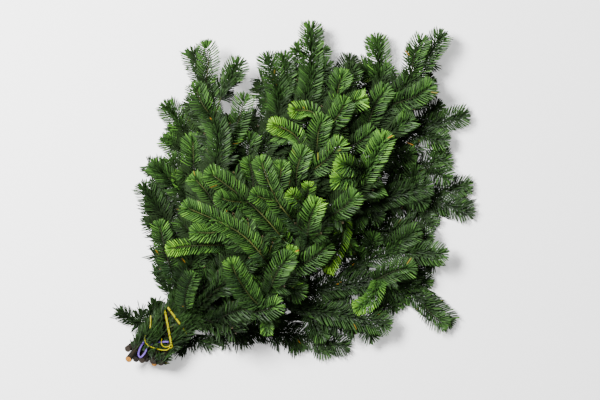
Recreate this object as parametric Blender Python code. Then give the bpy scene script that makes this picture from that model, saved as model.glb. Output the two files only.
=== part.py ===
"""A bunch of cut fir branches, tied at the butts with a yellow strap and lying down.

Each branch is a bare stem at the butt, a leader that carries on from it to the tip, and the laterals
that fork from the leader. A leader or lateral is the body that its needles fill, flat below and ridged
above, with its side shoots. The branches are laid one on another, so each rests on those below it.

Places in the tables are millimetres from the tie: X runs from the butts to the tips, Y across the fan
and Z up from the surface. The finished object stands on the middle of its footprint.
"""

import math
from dataclasses import dataclass

import bmesh
import bpy
import numpy as np
from mathutils import Vector

MM = 0.001

# From the tie to the middle of the footprint, mm
TIE_TO_MIDDLE = Vector((237.0, -5.0, 0.0))

# Wood, mm
BUTT_RADIUS = 4.6
BARE_END_RADIUS = 3.4
NECK_RADIUS = 1.6
STEM_SIDES = 6
STEM_STEP = 26.0
CUT_SLANT = 0.9

# The body of needles round a shoot, mm
NEEDLE_REACH = 18.0
OLD_REACH = 13.0
OLD_AFTER = 150.0
NEEDLES_ABOVE = 9.0
NEEDLES_BELOW = 3.5
WIDENING = 0.55
TIP_ROUNDING = 15.0
RING_STEP = 26.0
SWEEP = 6.0

# Side shoots that follow the fir's rule: pairs at a steady angle, shorter towards the tip
PAIR_ANGLE = math.radians(48.0)
PAIRS_FROM = 0.22
PAIRS_TO = 0.74

# Shoots that stand on top of a leader and lie forward over its wood, mm
OVER_ANGLE = math.radians(15.0)
OVER_LENGTH = 62.0
OVER_TO = 0.84
OVER_LIFT = 7.0
OVER_RUN = 18.0

# Laying the branches on each other, mm
CELL = 4.0
PATH_STEP = 5.0
GAP = 1.6
TOUCH_GAP = 0.5
BESIDE_GAP = 2.2
FLOOR_GAP = 0.8
JOINT_GAP = 0.35
REACHES_TRIED = (14.0, 11.0, 8.0, 6.0, 4.0, 2.5, 1.2)
DROOP_RADIUS = 420.0
JOINT_RUN = 34.0
PILE_LOW = (-120.0, -320.0)
PILE_SIZE = (720.0, 640.0)

# The tie: rows and columns of stems, mm
ROW_HEIGHTS = (7.4, 18.3, 29.2)
COLUMNS = (21.5, 10.5, -0.5, -11.5)
TIED_FROM = -28.0
TIED_TO = 18.0
CROWDED = 15.0
CROWDED_ALONG = 75.0

# The yellow strap, mm. It goes round the stems twice, in a slanting turn and a straighter one
STRAP_WIDTH = 4.0
STRAP_THICKNESS = 0.9
STRAP_CLEARANCE = 0.4
KNOT = (-25.0, -14.0, 36.0)
KNOT_SIZE = (8.0, 6.4, 4.6)
LONG_TAIL = ((-26, -14, 36.2), (-33, -13, 37.2), (-40, -4, 37.6), (-46, 10, 37.8), (-42, 20, 37.8),
             (-32, 22, 37.2), (-25, 26, 36.0), (-15, 36, 32.0))
SHORT_TAIL = ((-25, -13, 36.2), (-31, -9, 36.4), (-32, -3, 36.4), (-26, 3, 36.2))

# The lilac ribbon, a narrow loop on the butts, mm
RIBBON_WIDTH = 3.0
RIBBON_THICKNESS = 0.8
RIBBON_PATH = ((-36, 16.5, 35.6), (-48, 16.6, 36.0), (-58, 14.0, 36.0), (-65, 9.5, 35.8), (-65, 5.0, 35.6),
               (-58, 5.0, 35.6), (-46, 8.0, 35.6), (-36, 4.5, 35.4), (-28, -2, 35.4), (-23, -7, 35.4))


@dataclass
class Spray:
    """A lateral: it leaves the leader at fork and ends at tip. A shoot is (share of the way, tip)."""

    name: str
    fork: tuple
    tip: tuple
    via: tuple = None
    shoots: tuple = ()
    pairs: int = 0
    pair_length: float = 42.0
    curl: float = 0.0
    reach: float = NEEDLE_REACH


@dataclass
class Branch:
    """A cut branch. Its axis runs from the butt, through its slot in the tie, to the leader's tip.

    over is the number of shoots on top of the leader and the share of the way where the first one grows.
    """

    name: str
    column: int
    row: int
    butt: tuple
    axis: tuple
    shoots: tuple = ()
    pairs: int = 0
    pair_length: float = 45.0
    over: tuple = (0, 0.0)
    bare: float = 12.0
    sprays: tuple = ()


BRANCHES = (
    Branch("left_back", 0, 0, (-64, 22),
           ((62, 42), (120, 82), (172, 126), (198, 180), (207, 237)), pairs=2,
           shoots=((0.68, (172, 206)), (0.70, (238, 204)), (0.40, (138, 148)), (0.34, (170, 94))), sprays=(
        Spray("edge", (50, 36), (94, 156), via=(76, 94), shoots=((0.40, (58, 98)), (0.5, (112, 128)))),
        Spray("inner", (96, 64), (164, 178), via=(136, 124), shoots=((0.55, (192, 154)),)),
        Spray("butt_spray", (-16, 22), (-47, 80), via=(-34, 40), reach=13.0,
              shoots=((0.24, (-58, 28)), (0.20, (10, 46)), (0.36, (-14, 54)))),
    )),
    Branch("upper_right", 1, 0, (-70, 12),
           ((120, 28), (260, 46), (370, 66), (442, 96)), pairs=3, pair_length=50.0,
           shoots=((0.84, (402, 108)),), sprays=(
        Spray("left", (258, 46), (392, 126), via=(332, 90), pairs=2, shoots=((0.40, (330, 130)),)),
        Spray("right", (280, 49), (452, 34), via=(370, 34), pairs=2),
    )),
    Branch("lower_middle", 2, 0, (-62, -2),
           ((110, -38), (240, -70), (350, -98), (404, -184)), pairs=3, pair_length=50.0,
           shoots=((0.84, (432, -154)), (0.78, (352, -162))), sprays=(
        Spray("right", (245, -71), (340, -168), via=(304, -118), pairs=2),
        Spray("left", (290, -82), (438, -107), via=(372, -72), pairs=2),
    )),
    Branch("bottom_edge", 3, 0, (-56, -16),
           ((45, -50), (85, -98), (112, -136), (150, -194)),
           shoots=((0.26, (48, -90)), (0.45, (66, -116)), (0.62, (96, -152)), (0.74, (124, -184)),
                   (0.36, (94, -64)), (0.24, (70, -44))), sprays=(
        Spray("outer", (8, -14), (18, -58), via=(6, -34), reach=13.0,
              shoots=((0.22, (-34, -30)), (0.45, (-6, -48)), (0.50, (32, -68)))),
        Spray("inner", (60, -68), (190, -182), via=(130, -112), pairs=2),
    )),
    Branch("left_edge", 0, 1, (-72, 26),
           ((45, 50), (88, 104), (106, 178)),
           shoots=((0.55, (72, 138)),), sprays=(
        Spray("low", (22, 34), (52, 88), via=(30, 62), shoots=((0.4, (20, 58)),), reach=15.0),
        Spray("inner", (52, 58), (136, 189), via=(130, 102), shoots=((0.5, (156, 156)),)),
    )),
    Branch("upper_middle", 1, 1, (-74, 8),
           ((110, 43), (220, 78), (312, 112), (357, 183)), pairs=4, pair_length=50.0, over=(5, 0.17),
           shoots=((0.78, (318, 164)), (0.80, (376, 168)), (0.58, (272, 140)), (0.60, (294, 74))), sprays=(
        Spray("right", (208, 75), (432, 168), via=(344, 93), pairs=3, shoots=((0.62, (414, 112)),)),
        Spray("left", (165, 60), (262, 158), via=(218, 108), pairs=2),
    )),
    Branch("lower_right", 2, 1, (-64, -2),
           ((130, -20), (270, -26), (400, -34), (498, -79)), pairs=5, pair_length=50.0, over=(4, 0.54),
           shoots=((0.84, (452, -88)), (0.82, (484, -44))), sprays=(
        Spray("left", (288, -27), (500, -6), via=(398, 4), pairs=2),
        Spray("right", (256, -27), (392, -112), via=(325, -74), pairs=2, shoots=((0.3, (262, -82)),)),
    )),
    Branch("bottom", 3, 1, (-60, -14),
           ((90, -54), (170, -98), (236, -150), (262, -200), (273, -274)),
           pairs=3, pair_length=48.0, over=(4, 0.26),
           shoots=((0.72, (296, -212)), (0.66, (236, -206)), (0.66, (292, -176)), (0.36, (188, -68))),
           sprays=(
        Spray("far", (176, -103), (338, -196), via=(270, -132),
              shoots=((0.45, (336, -146)), (0.22, (256, -94)), (0.3, (290, -100)))),
        Spray("near", (104, -61), (212, -212), via=(164, -138), pairs=2, shoots=((0.6, (168, -182)),)),
    )),
    Branch("upper_left", 0, 2, (-80, 15),
           ((90, 52), (160, 92), (222, 138), (240, 170), (264, 208), (286, 263)), pairs=3, over=(6, 0.22),
           shoots=((0.66, (238, 214)), (0.56, (298, 162))), sprays=(
        Spray("right", (236, 163), (328, 199), via=(278, 184)),
        Spray("left", (122, 69), (206, 174), via=(166, 130), shoots=((0.4, (150, 152)),)),
        Spray("low", (33, 31), (90, 123), via=(64, 82), shoots=((0.45, (58, 96)),), reach=15.0),
    )),
    Branch("centre", 1, 2, (-68, 1),
           ((150, 12), (300, 12), (430, 8), (554, 27)), pairs=3, over=(5, 0.50),
           shoots=((0.80, (490, -22)),), sprays=(
        Spray("left", (380, 10), (484, 93), via=(440, 42), shoots=((0.45, (432, 82)), (0.4, (470, 46)))),
        Spray("right", (320, 12), (440, -26), via=(385, -16)),
        Spray("near_tie", (30, 12), (79, 34), via=(54, 21), reach=14.0),
        Spray("lime_left", (146, 12), (64, 88), via=(104, 56), reach=12.0, curl=9.0),
    )),
    Branch("top_right", 2, 2, (-58, -11),
           ((140, -4), (250, 12), (330, 42), (432, 84)), pairs=3, over=(5, 0.52),
           shoots=((0.86, (412, 36)), (0.6, (300, -4)), (0.76, (372, 92))), sprays=(
        Spray("lime_left", (270, 17), (287, 113), via=(302, 66), reach=13.0, curl=10.0),
        Spray("lime_right", (312, 35), (318, 104), via=(342, 72), reach=13.0, curl=12.0),
        Spray("low", (225, 8), (336, 12), via=(285, -6), reach=14.0),
    )),
    Branch("top_left", 3, 2, (-52, -20),
           ((60, -42), (130, -58), (200, -49), (265, -38), (318, -38), (397, -16)), over=(8, 0.06),
           shoots=((0.34, (160, -96)), (0.50, (157, -36)), (0.83, (292, -4)), (0.85, (316, 10)),
                   (0.86, (322, -76)), (0.20, (104, -98)), (0.24, (76, -12)), (0.62, (262, -84)),
                   (0.42, (205, -88))), sprays=(
        Spray("first", (94, -52), (123, 18), via=(108, -16), reach=15.0),
        Spray("second", (150, -57), (125, 115), via=(156, 24), reach=15.0,
              shoots=((0.50, (106, 82)), (0.58, (164, 137)))),
        Spray("third", (186, -51), (183, 125), via=(194, 34), reach=16.0,
              shoots=((0.48, (238, 99)), (0.5, (166, 92)))),
        Spray("fourth", (216, -46), (249, 87), via=(222, 24), reach=15.0,
              shoots=((0.5, (268, 62)), (0.42, (204, 62)))),
        Spray("fifth", (250, -40), (243, 28), reach=13.0, curl=8.0, shoots=((0.3, (274, 16)),)),
        Spray("back_turned", (290, -38), (194, -95), via=(252, -72), reach=13.0, curl=8.0,
              shoots=((0.5, (222, -56)),)),
    )),
)


# Paths


def smooth_path(points, step=PATH_STEP):
    """Points about one step apart on a smooth curve through the given ones."""
    points = [np.array(point, float) for point in points]
    ends = [2 * points[0] - points[1], *points, 2 * points[-1] - points[-2]]
    dense = []
    for before, start, end, after in zip(ends, ends[1:], ends[2:], ends[3:]):
        for share in np.linspace(0.0, 1.0, 24, endpoint=False):
            dense.append(0.5 * (
                2 * start
                + (end - before) * share
                + (2 * before - 5 * start + 4 * end - after) * share**2
                + (3 * start - before - 3 * end + after) * share**3
            ))
    dense = np.array([*dense, points[-1]])
    along = lengths_along(dense)
    count = max(4, round(along[-1] / step) + 1)
    even = np.linspace(0.0, along[-1], count)
    return np.stack([np.interp(even, along, dense[:, axis]) for axis in range(dense.shape[1])], axis=1)


def lengths_along(path):
    """The distance of each point of a path from its start."""
    return np.concatenate([[0.0], np.cumsum(np.linalg.norm(np.diff(path, axis=0), axis=1))])


def nearest(path, point):
    """The index of the path's point that is nearest to a place in plan."""
    return int(np.argmin(np.linalg.norm(path[:, :2] - np.array(point, float), axis=1)))


def heading_at(path, index):
    """The direction of a path in plan at one of its points."""
    step = path[min(index + 1, len(path) - 1), :2] - path[max(index - 1, 0), :2]
    return step / np.linalg.norm(step)


def shoot_plan(start, heading, tip):
    """A shoot in plan: it leaves wide of its parent and turns forward."""
    start, tip = np.array(start, float), np.array(tip, float)
    chord = tip - start
    side = np.array([-chord[1], chord[0]])
    backward = -1.0 if side @ heading > 0 else 1.0
    return smooth_path([start, start + 0.5 * chord + 0.07 * backward * side, tip])


def turned_tip(path, index, turn, length):
    """The tip of a straight shoot that leaves the path at an angle to it."""
    heading = heading_at(path, index)
    return (
        path[index, 0] + length * (heading[0] * math.cos(turn) - heading[1] * math.sin(turn)),
        path[index, 1] + length * (heading[0] * math.sin(turn) + heading[1] * math.cos(turn)),
    )


def paired_shoots(path, pairs, length):
    """Shoots in pairs along a path, each a little different from its rule."""
    shoots = []
    for number in range(pairs):
        share = PAIRS_FROM + (PAIRS_TO - PAIRS_FROM) * number / max(1, pairs - 1)
        index = round(share * (len(path) - 1))
        for side in (-1.0, 1.0):
            vary = math.sin(12.9 * path[index, 0] + 7.3 * path[index, 1] + 2.1 * side)
            turn = side * (PAIR_ANGLE + 0.16 * vary)
            reach = length * (1.0 + 0.16 * vary) * (1.1 - 0.35 * share)
            shoots.append((share + 0.02 * side, turned_tip(path, index, turn, reach)))
    return tuple(shoots)


def over_shoots(path, count, first):
    """Shoots one after another on top of a leader, to one side of it and the other."""
    shoots = []
    for number in range(count):
        share = first + (OVER_TO - first) * number / max(1, count - 1)
        index = round(share * (len(path) - 1))
        side = 1.0 if number % 2 == 0 else -1.0
        vary = math.sin(9.7 * path[index, 0] + 5.1 * path[index, 1])
        turn = side * (OVER_ANGLE + 0.12 * vary)
        shoots.append((share, turned_tip(path, index, turn, OVER_LENGTH * (1.0 + 0.14 * vary))))
    return tuple(shoots)


# The pile: how high the branches already laid reach, over a grid of cells


class Pile:
    def __init__(self):
        counts = [int(size / CELL) for size in PILE_SIZE]
        self.top = np.full(counts, FLOOR_GAP - GAP)
        self.x, self.y = np.meshgrid(
            *[low + CELL * (np.arange(count) + 0.5) for low, count in zip(PILE_LOW, counts)],
            indexing="ij",
        )

    def near(self, point, reach):
        """The cells within reach of a point, and how near the middle each is: 1 to 0."""
        low = [int((point[axis] - reach - PILE_LOW[axis]) / CELL) for axis in (0, 1)]
        high = [int((point[axis] + reach - PILE_LOW[axis]) / CELL) + 1 for axis in (0, 1)]
        window = (slice(low[0], high[0]), slice(low[1], high[1]))
        away = np.hypot(self.x[window] - point[0], self.y[window] - point[1])
        return window, np.clip(1.0 - away / reach, 0.0, 1.0), away < reach

    def rest_heights(self, path, reaches, below):
        """The lowest height of each point of the path that clears what lies under it."""
        heights = []
        for point, reach in zip(path, reaches):
            window, _, inside = self.near(point, max(reach + 1.0, 0.8 * CELL))
            depth = below * min(1.0, reach / 8.0)
            heights.append(depth + np.max(np.where(inside, self.top[window], FLOOR_GAP - GAP)))
        return np.array(heights) + GAP

    def lay(self, path, reaches, above, below):
        """Adds a ridged body along the path to the pile."""
        for point, reach in zip(path, reaches):
            window, nearness, inside = self.near(point, max(reach + 2.0, 0.8 * CELL))
            swell = min(1.0, reach / 8.0)
            height = point[2] + swell * ((above + below) * nearness - below)
            self.top[window] = np.where(inside, np.maximum(self.top[window], height), self.top[window])


def draped(along, rest, start_height, joint_run=JOINT_RUN):
    """The heights of a springy stick laid over the rest heights, held at its start."""
    apart = along[:, None] - along[None, :]
    bent = np.max(rest[None, :] - apart**2 / (2.0 * DROOP_RADIUS), axis=1)
    padded = np.pad(bent, 3, mode="edge")
    soft = np.convolve(padded, np.ones(7) / 7.0, mode="valid")
    soft += max(0.0, float(np.max(rest - soft)))
    share = np.clip(along / joint_run, 0.0, 1.0)
    return start_height + (soft - start_height) * share * share * (3.0 - 2.0 * share)


def rounded_tip(along, reach):
    """The reach of the needles, full along the twig and round at its tip."""
    to_tip = np.clip((along[-1] - along) / TIP_ROUNDING, 0.0, 1.0)
    return reach * np.sqrt(np.clip(1.0 - (1.0 - to_tip) ** 2, 0.0, 1.0))


def reaches_of(along, reach):
    """How far the needles reach from a twig: narrow at the joint, full, and round at the tip."""
    return np.clip(np.minimum(NECK_RADIUS + WIDENING * along, rounded_tip(along, reach)), 0.4, None)


def leader_reaches(along, reach):
    """The same for a leader, whose older needles near the butt reach less far."""
    older = np.interp(along[-1] - along, [0.0, 0.4 * OLD_AFTER, OLD_AFTER], [reach, reach, OLD_REACH])
    return np.clip(np.minimum(BARE_END_RADIUS + 0.4 * along, rounded_tip(along, 1.0) * older), 0.4, None)


@dataclass
class Twig:
    """One shoot, settled in the pile. It is buried where not even its wood clears the pile."""

    path: np.ndarray
    reaches: np.ndarray
    buried: bool = False
    on_top: bool = False


def beside(plan, reaches, parent):
    """The reaches, kept short of the needles of the parent that a twig grows beside."""
    if parent is None:
        return reaches
    away = np.linalg.norm(plan[:, None, :2] - parent.path[None, :, :2], axis=2)
    free = np.min(away - parent.reaches[None, :], axis=1) - BESIDE_GAP
    return np.minimum(reaches, np.maximum(free, 1.2))


def squeezed(pile, path, reaches):
    """The reaches, pressed in where a body held low at its joint would meet the pile."""
    limits = reaches.copy()
    buried = False
    for index, point in enumerate(path):
        for tried in (reaches[index], *REACHES_TRIED):
            limits[index] = min(limits[index], tried)
            lowest = pile.rest_heights([point], [limits[index]], NEEDLES_BELOW)[0] - GAP + TOUCH_GAP
            if point[2] >= lowest:
                break
        else:
            buried = True
    pressed = limits < reaches - 0.1
    padded = np.pad(np.where(pressed, limits, np.inf), 2, mode="edge")
    spread = np.min([padded[shift:shift + len(limits)] for shift in range(5)], axis=0)
    return np.minimum(reaches, spread), buried


def settle_twig(pile, plan, start_height, reach, curl, parent=None):
    along = lengths_along(plan)
    reaches = beside(plan, reaches_of(along, reach), parent)
    rest = pile.rest_heights(plan, reaches, NEEDLES_BELOW)
    heights = draped(along, rest, start_height) + curl * (along / along[-1]) ** 3
    path = np.column_stack([plan, heights])
    return Twig(path, *squeezed(pile, path, reaches))


def crowds(plan, parent, laterals):
    """Whether a shoot crosses the parent of its axis, or comes close to the start of a lateral."""
    if parent is not None:
        away = np.linalg.norm(plan[:, None, :] - parent.path[None, :, :2], axis=2)
        if np.min(away - parent.reaches[None, :]) < BESIDE_GAP + 1.5:
            return True
    for lateral in laterals:
        near = lateral[lengths_along(lateral) < CROWDED_ALONG]
        away = np.linalg.norm(plan[:, None, :] - near[None, :, :], axis=2)
        if np.min(away) < CROWDED:
            return True
    return False


def settle_shoots(pile, axis, shoots, reach, curl, parent=None, laterals=()):
    """The side shoots of a settled axis, laid on the pile. Those that crowd a lateral are left out."""
    twigs = []
    for share, tip in shoots:
        index = round(share * (len(axis) - 1))
        plan = shoot_plan(axis[index, :2], heading_at(axis, index), tip)
        if not crowds(plan, parent, laterals):
            twig = settle_twig(pile, plan, axis[index, 2], reach, curl, parent)
            if not twig.buried:
                twigs.append(twig)
    for twig in twigs:
        pile.lay(twig.path, twig.reaches, NEEDLES_ABOVE, NEEDLES_BELOW)
    return twigs


def settle_over(pile, leader, shoots, reach):
    """Shoots on top of a settled leader, clear of all that was laid before it."""
    twigs = []
    for share, tip in shoots:
        index = round(share * (len(leader.path) - 1))
        plan = shoot_plan(leader.path[index, :2], heading_at(leader.path, index), tip)
        along = lengths_along(plan)
        reaches = reaches_of(along, reach)
        wood = np.array([leader.path[nearest(leader.path, point), 2] for point in plan])
        rest = np.maximum(pile.rest_heights(plan, reaches, NEEDLES_BELOW), wood + OVER_LIFT)
        path = np.column_stack([plan, draped(along, rest, leader.path[index, 2], OVER_RUN)])
        twig = Twig(path, *squeezed(pile, path, reaches), on_top=True)
        if not twig.buried:
            twigs.append(twig)
    for twig in twigs:
        pile.lay(twig.path, twig.reaches, NEEDLES_ABOVE, NEEDLES_BELOW)
    return twigs


def lateral_plan(spray, parent):
    """A lateral in plan, from the edge of the wood or needles it leaves, and the height there."""
    fork = nearest(parent.path, spray.fork)
    start, heading = parent.path[fork, :2], heading_at(parent.path, fork)
    if spray.via:
        plan = smooth_path([start, spray.via, spray.tip])
    else:
        plan = shoot_plan(start, heading, spray.tip)
    first = heading_at(plan, 1)
    lean = max(0.45, abs(first[0] * heading[1] - first[1] * heading[0]))
    clear = (parent.reaches[fork] + NECK_RADIUS + JOINT_GAP) / lean
    return plan[lengths_along(plan) > clear], parent.path[fork, 2]


def settle_spray(pile, spray, parent, whole):
    """The twigs of a lateral, its axis first, laid on the pile and clear of the whole main axis."""
    plan, height = lateral_plan(spray, parent)
    axis = settle_twig(pile, plan, height, spray.reach, spray.curl, whole)
    shoots = spray.shoots + paired_shoots(plan, spray.pairs, spray.pair_length)
    twigs = [axis, *settle_shoots(pile, axis.path, shoots, 0.92 * spray.reach, spray.curl, whole)]
    pile.lay(axis.path, axis.reaches, NEEDLES_ABOVE, NEEDLES_BELOW)
    return twigs


def settle_axis(pile, branch):
    """The bare stem, level through its slot in the tie, and the leader, laid over the pile."""
    column, height = COLUMNS[branch.column], ROW_HEIGHTS[branch.row]
    middle = 0.5 * (TIED_FROM + TIED_TO)
    slot = [(x, column) for x in (TIED_FROM, middle, TIED_TO)]
    plan = smooth_path([branch.butt, *slot, *branch.axis])
    tied = nearest(plan, slot[-1])
    bare_end = tied + round(branch.bare / PATH_STEP)
    free = plan[tied:]
    along = lengths_along(free)
    reaches = leader_reaches(np.maximum(along - branch.bare, 0.0), NEEDLE_REACH)
    rest = pile.rest_heights(free, np.maximum(reaches, 9.0), NEEDLES_BELOW)
    heights = np.full(len(plan), height)
    heights[tied:] = draped(along, rest, height, joint_run=60.0)
    path = np.column_stack([plan, heights])
    leafy = path[bare_end:].copy()
    leafy[0] += (leafy[1] - leafy[0]) * (JOINT_GAP + 0.3) / PATH_STEP
    return path[:bare_end + 1], Twig(leafy, *squeezed(pile, leafy, reaches[bare_end - tied:]))


def bare_radii(path):
    return np.linspace(BUTT_RADIUS, BARE_END_RADIUS, len(path))


def settle_bunch():
    """Lays every branch. Returns the stems' paths and the twigs of the rest, by node name."""
    pile = Pile()
    stems, leafy = {}, {}
    for branch in BRANCHES:
        stem, leader = settle_axis(pile, branch)
        stems[branch.name + "_stem"] = stem
        shoots = branch.shoots + paired_shoots(leader.path[:, :2], branch.pairs, branch.pair_length)
        wood = Twig(stem, bare_radii(stem))
        parents = [wood if spray.fork[0] < leader.path[0, 0] else leader for spray in branch.sprays]
        laterals = [lateral_plan(*pair)[0] for pair in zip(branch.sprays, parents)]
        side = settle_shoots(pile, leader.path, shoots, 0.92 * NEEDLE_REACH, 0.0, laterals=laterals)
        leafy[branch.name + "_leader"] = [leader, *side]
        whole = Twig(np.vstack([stem, leader.path]), np.append(bare_radii(stem), leader.reaches))
        for spray, parent in zip(branch.sprays, parents):
            leafy[branch.name + "_" + spray.name] = settle_spray(pile, spray, parent, whole)
        over = over_shoots(leader.path[:, :2], *branch.over)
        leafy[branch.name + "_leader"] += settle_over(pile, leader, over, 0.92 * NEEDLE_REACH)
        pile.lay(leader.path, leader.reaches, NEEDLES_ABOVE, NEEDLES_BELOW)
        pile.lay(stem, bare_radii(stem), BUTT_RADIUS, 0.0)
    return stems, leafy


# Materials


def material(name, colour, roughness):
    made = bpy.data.materials.new(name)
    made.use_nodes = True
    shader = made.node_tree.nodes["Principled BSDF"]
    shader.inputs["Base Color"].default_value = (*colour, 1.0)
    shader.inputs["Roughness"].default_value = roughness
    shader.inputs["Metallic"].default_value = 0.0
    return made


# Solids


def to_world(point):
    return (Vector(point) - TIE_TO_MIDDLE) * MM


def frame_at(path, index):
    """The forward, left and up directions of a path at one of its points."""
    ahead = Vector(path[min(index + 1, len(path) - 1)]) - Vector(path[max(index - 1, 0)])
    ahead.normalize()
    left = Vector((0.0, 0.0, 1.0)).cross(ahead).normalized()
    return ahead, left, ahead.cross(left)


def ring(shape, corners):
    """A ring of new vertices joined by edges."""
    vertices = [shape.verts.new(to_world(corner)) for corner in corners]
    edges = [shape.edges.new((a, b)) for a, b in zip(vertices, vertices[1:] + vertices[:1])]
    return vertices, edges


def skin(shape, rings):
    """Bridges each ring to the next one and closes both ends."""
    for (_, here), (_, beyond) in zip(rings, rings[1:]):
        bmesh.ops.bridge_loops(shape, edges=here + beyond)
    for vertices, _ in (rings[0], rings[-1]):
        shape.faces.new(vertices)
    bmesh.ops.recalc_face_normals(shape, faces=shape.faces)
    if shape.calc_volume(signed=True) < 0.0:
        bmesh.ops.reverse_faces(shape, faces=shape.faces)


def object_of(shape, name, finish, smooth_angle=None):
    mesh = bpy.data.meshes.new(name)
    shape.to_mesh(mesh)
    shape.free()
    mesh.materials.append(finish)
    if smooth_angle is not None:
        mesh.shade_smooth()
        mesh.set_sharp_from_angle(angle=smooth_angle)
    made = bpy.data.objects.new(name, mesh)
    bpy.context.scene.collection.objects.link(made)
    return made


def twig_body(twig, name, finish):
    """A shoot with its needles: flat below, ridged above, its edges swept forward."""
    along = lengths_along(twig.path)
    steps = max(3, round(along[-1] / RING_STEP))
    marks = np.append(np.linspace(0.0, along[-1] - 7.0, steps), along[-1])
    shape = bmesh.new()
    rings = []
    for number, mark in enumerate(marks):
        index = int(np.argmin(np.abs(along - mark)))
        ahead, left, up = frame_at(twig.path, index)
        centre = Vector(twig.path[index])
        reach = twig.reaches[index]
        swell = min(1.0, reach / 8.0)
        sweep = 0.0 if number in (0, steps) else min(SWEEP, 0.4 * reach)
        low = centre - up * NEEDLES_BELOW * swell + ahead * sweep
        rings.append(ring(shape, (
            low + left * reach,
            centre + up * NEEDLES_ABOVE * swell,
            low - left * reach,
        )))
    skin(shape, rings)
    return object_of(shape, name, finish)


def leafy_node(name, twigs, finish):
    """An axis and its side shoots joined in one solid."""
    axis = twig_body(twigs[0], name, finish)
    if len(twigs) == 1:
        return axis
    shoots = bpy.data.collections.new(name + "_shoots")
    for number, twig in enumerate(twigs[1:], 1):
        body = twig_body(twig, f"{name}_shoot_{number}", finish)
        body.hide_render = True
        body.display_type = "WIRE"
        bpy.context.scene.collection.objects.unlink(body)
        shoots.objects.link(body)
    bpy.context.scene.collection.children.link(shoots)
    shoots.hide_render = True
    joined = axis.modifiers.new("join_shoots", "BOOLEAN")
    joined.operation = "UNION"
    joined.operand_type = "COLLECTION"
    joined.collection = shoots
    return axis


def stem_node(name, path, finish):
    """A stem's bare wood, cut at a slant at the butt."""
    along = lengths_along(path)
    radii = bare_radii(path)
    marks = np.linspace(0.0, along[-1], round(along[-1] / STEM_STEP) + 1)
    shape = bmesh.new()
    rings = []
    for number, mark in enumerate(marks):
        index = int(np.argmin(np.abs(along - mark)))
        ahead, left, up = frame_at(path, index)
        corners = []
        for side in range(STEM_SIDES):
            turn = 2.0 * math.pi * side / STEM_SIDES
            slant = CUT_SLANT * math.sin(turn) if number == 0 else 0.0
            corners.append(Vector(path[index]) + float(radii[index]) * (
                left * math.cos(turn) + up * math.sin(turn) + ahead * slant
            ))
        rings.append(ring(shape, corners))
    skin(shape, rings)
    return object_of(shape, name, finish, smooth_angle=math.radians(70.0))


def strap_round():
    """The middle line of the strap's two turns, with the outward direction at each point."""
    lift = BUTT_RADIUS + STRAP_CLEARANCE + 0.5 * STRAP_THICKNESS
    under = STRAP_THICKNESS + 0.25
    left, right, low, high = COLUMNS[0], COLUMNS[-1], ROW_HEIGHTS[0], ROW_HEIGHTS[-1]
    # Each stop: corner y, corner z, turn from up in degrees, place along the bunch, drop below
    stops = (
        (right, high, 0, -22.0, 0.0), (left, high, 0, 0.5, 0.0), (left, high, 45, 2.6, 0.0),
        (left, high, 90, 3.5, 0.0), (left, low, 90, 3.0, 0.0), (left, low, 135, 3.0, 0.0),
        (left, low, 180, 3.0, 0.0), (right, low, 180, 3.5, 0.0), (right, low, 225, 3.0, 0.0),
        (right, low, 270, 3.0, 0.0), (right, high, 270, 3.0, 0.0), (right, high, 315, 3.0, 0.0),
        (right, high, 360, 4.0, 0.0), (left, high, 360, 9.2, 0.0), (left, high, 405, 9.6, 0.0),
        (left, high, 450, 9.8, 0.0), (left, low, 450, 9.8, under), (left, low, 495, 9.4, under),
        (left, low, 540, 8.0, under), (right, low, 540, -16.0, under), (right, low, 585, -19.0, under),
        (right, low, 630, -20.0, 0.0), (right, high, 630, -23.0, 0.0), (right, high, 675, -24.5, 0.0),
        (right, high, 700, -25.5, 0.0),
    )
    points, outward = [], []
    for y, z, degrees, x, drop in stops:
        turn = math.radians(degrees)
        out = Vector((0.0, math.sin(turn), math.cos(turn)))
        points.append(Vector((x, y, z)) + out * lift - Vector((0.0, 0.0, drop)))
        outward.append(out)
    return points, outward


def strip(shape, points, outward, width, thickness):
    """A flat strip along points, its flat side facing the outward directions."""
    rings = []
    for index, (point, out) in enumerate(zip(points, outward)):
        ahead = points[min(index + 1, len(points) - 1)] - points[max(index - 1, 0)]
        side = ahead.cross(out).normalized() * (0.5 * width)
        lift = side.cross(ahead).normalized() * (0.5 * thickness)
        rings.append(ring(shape, (point + side + lift, point - side + lift,
                                  point - side - lift, point + side - lift)))
    skin(shape, rings)


def strap_node(finish):
    """The strap's two turns, its knot and its two tails in one solid."""
    shape = bmesh.new()
    strip(shape, *strap_round(), STRAP_WIDTH, STRAP_THICKNESS)
    strap = object_of(shape, "yellow_strap", finish)
    added = bpy.data.collections.new("yellow_strap_parts")
    for name, stops in (("long_tail", LONG_TAIL), ("short_tail", SHORT_TAIL)):
        line = [Vector(point) for point in smooth_path(stops, step=9.0)]
        shape = bmesh.new()
        strip(shape, line, [Vector((0.0, 0.0, 1.0))] * len(line), 0.6 * STRAP_WIDTH, STRAP_THICKNESS)
        added.objects.link(object_of(shape, name, finish))
    shape = bmesh.new()
    bmesh.ops.create_icosphere(shape, subdivisions=2, radius=0.5)
    bmesh.ops.scale(shape, verts=shape.verts, vec=Vector(KNOT_SIZE) * MM)
    bmesh.ops.translate(shape, verts=shape.verts, vec=to_world(KNOT))
    added.objects.link(object_of(shape, "knot", finish))
    for helper in added.objects:
        helper.hide_render = True
        helper.display_type = "WIRE"
        bpy.context.scene.collection.objects.unlink(helper)
    bpy.context.scene.collection.children.link(added)
    added.hide_render = True
    joined = strap.modifiers.new("join_knot", "BOOLEAN")
    joined.operation = "UNION"
    joined.operand_type = "COLLECTION"
    joined.collection = added


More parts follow.
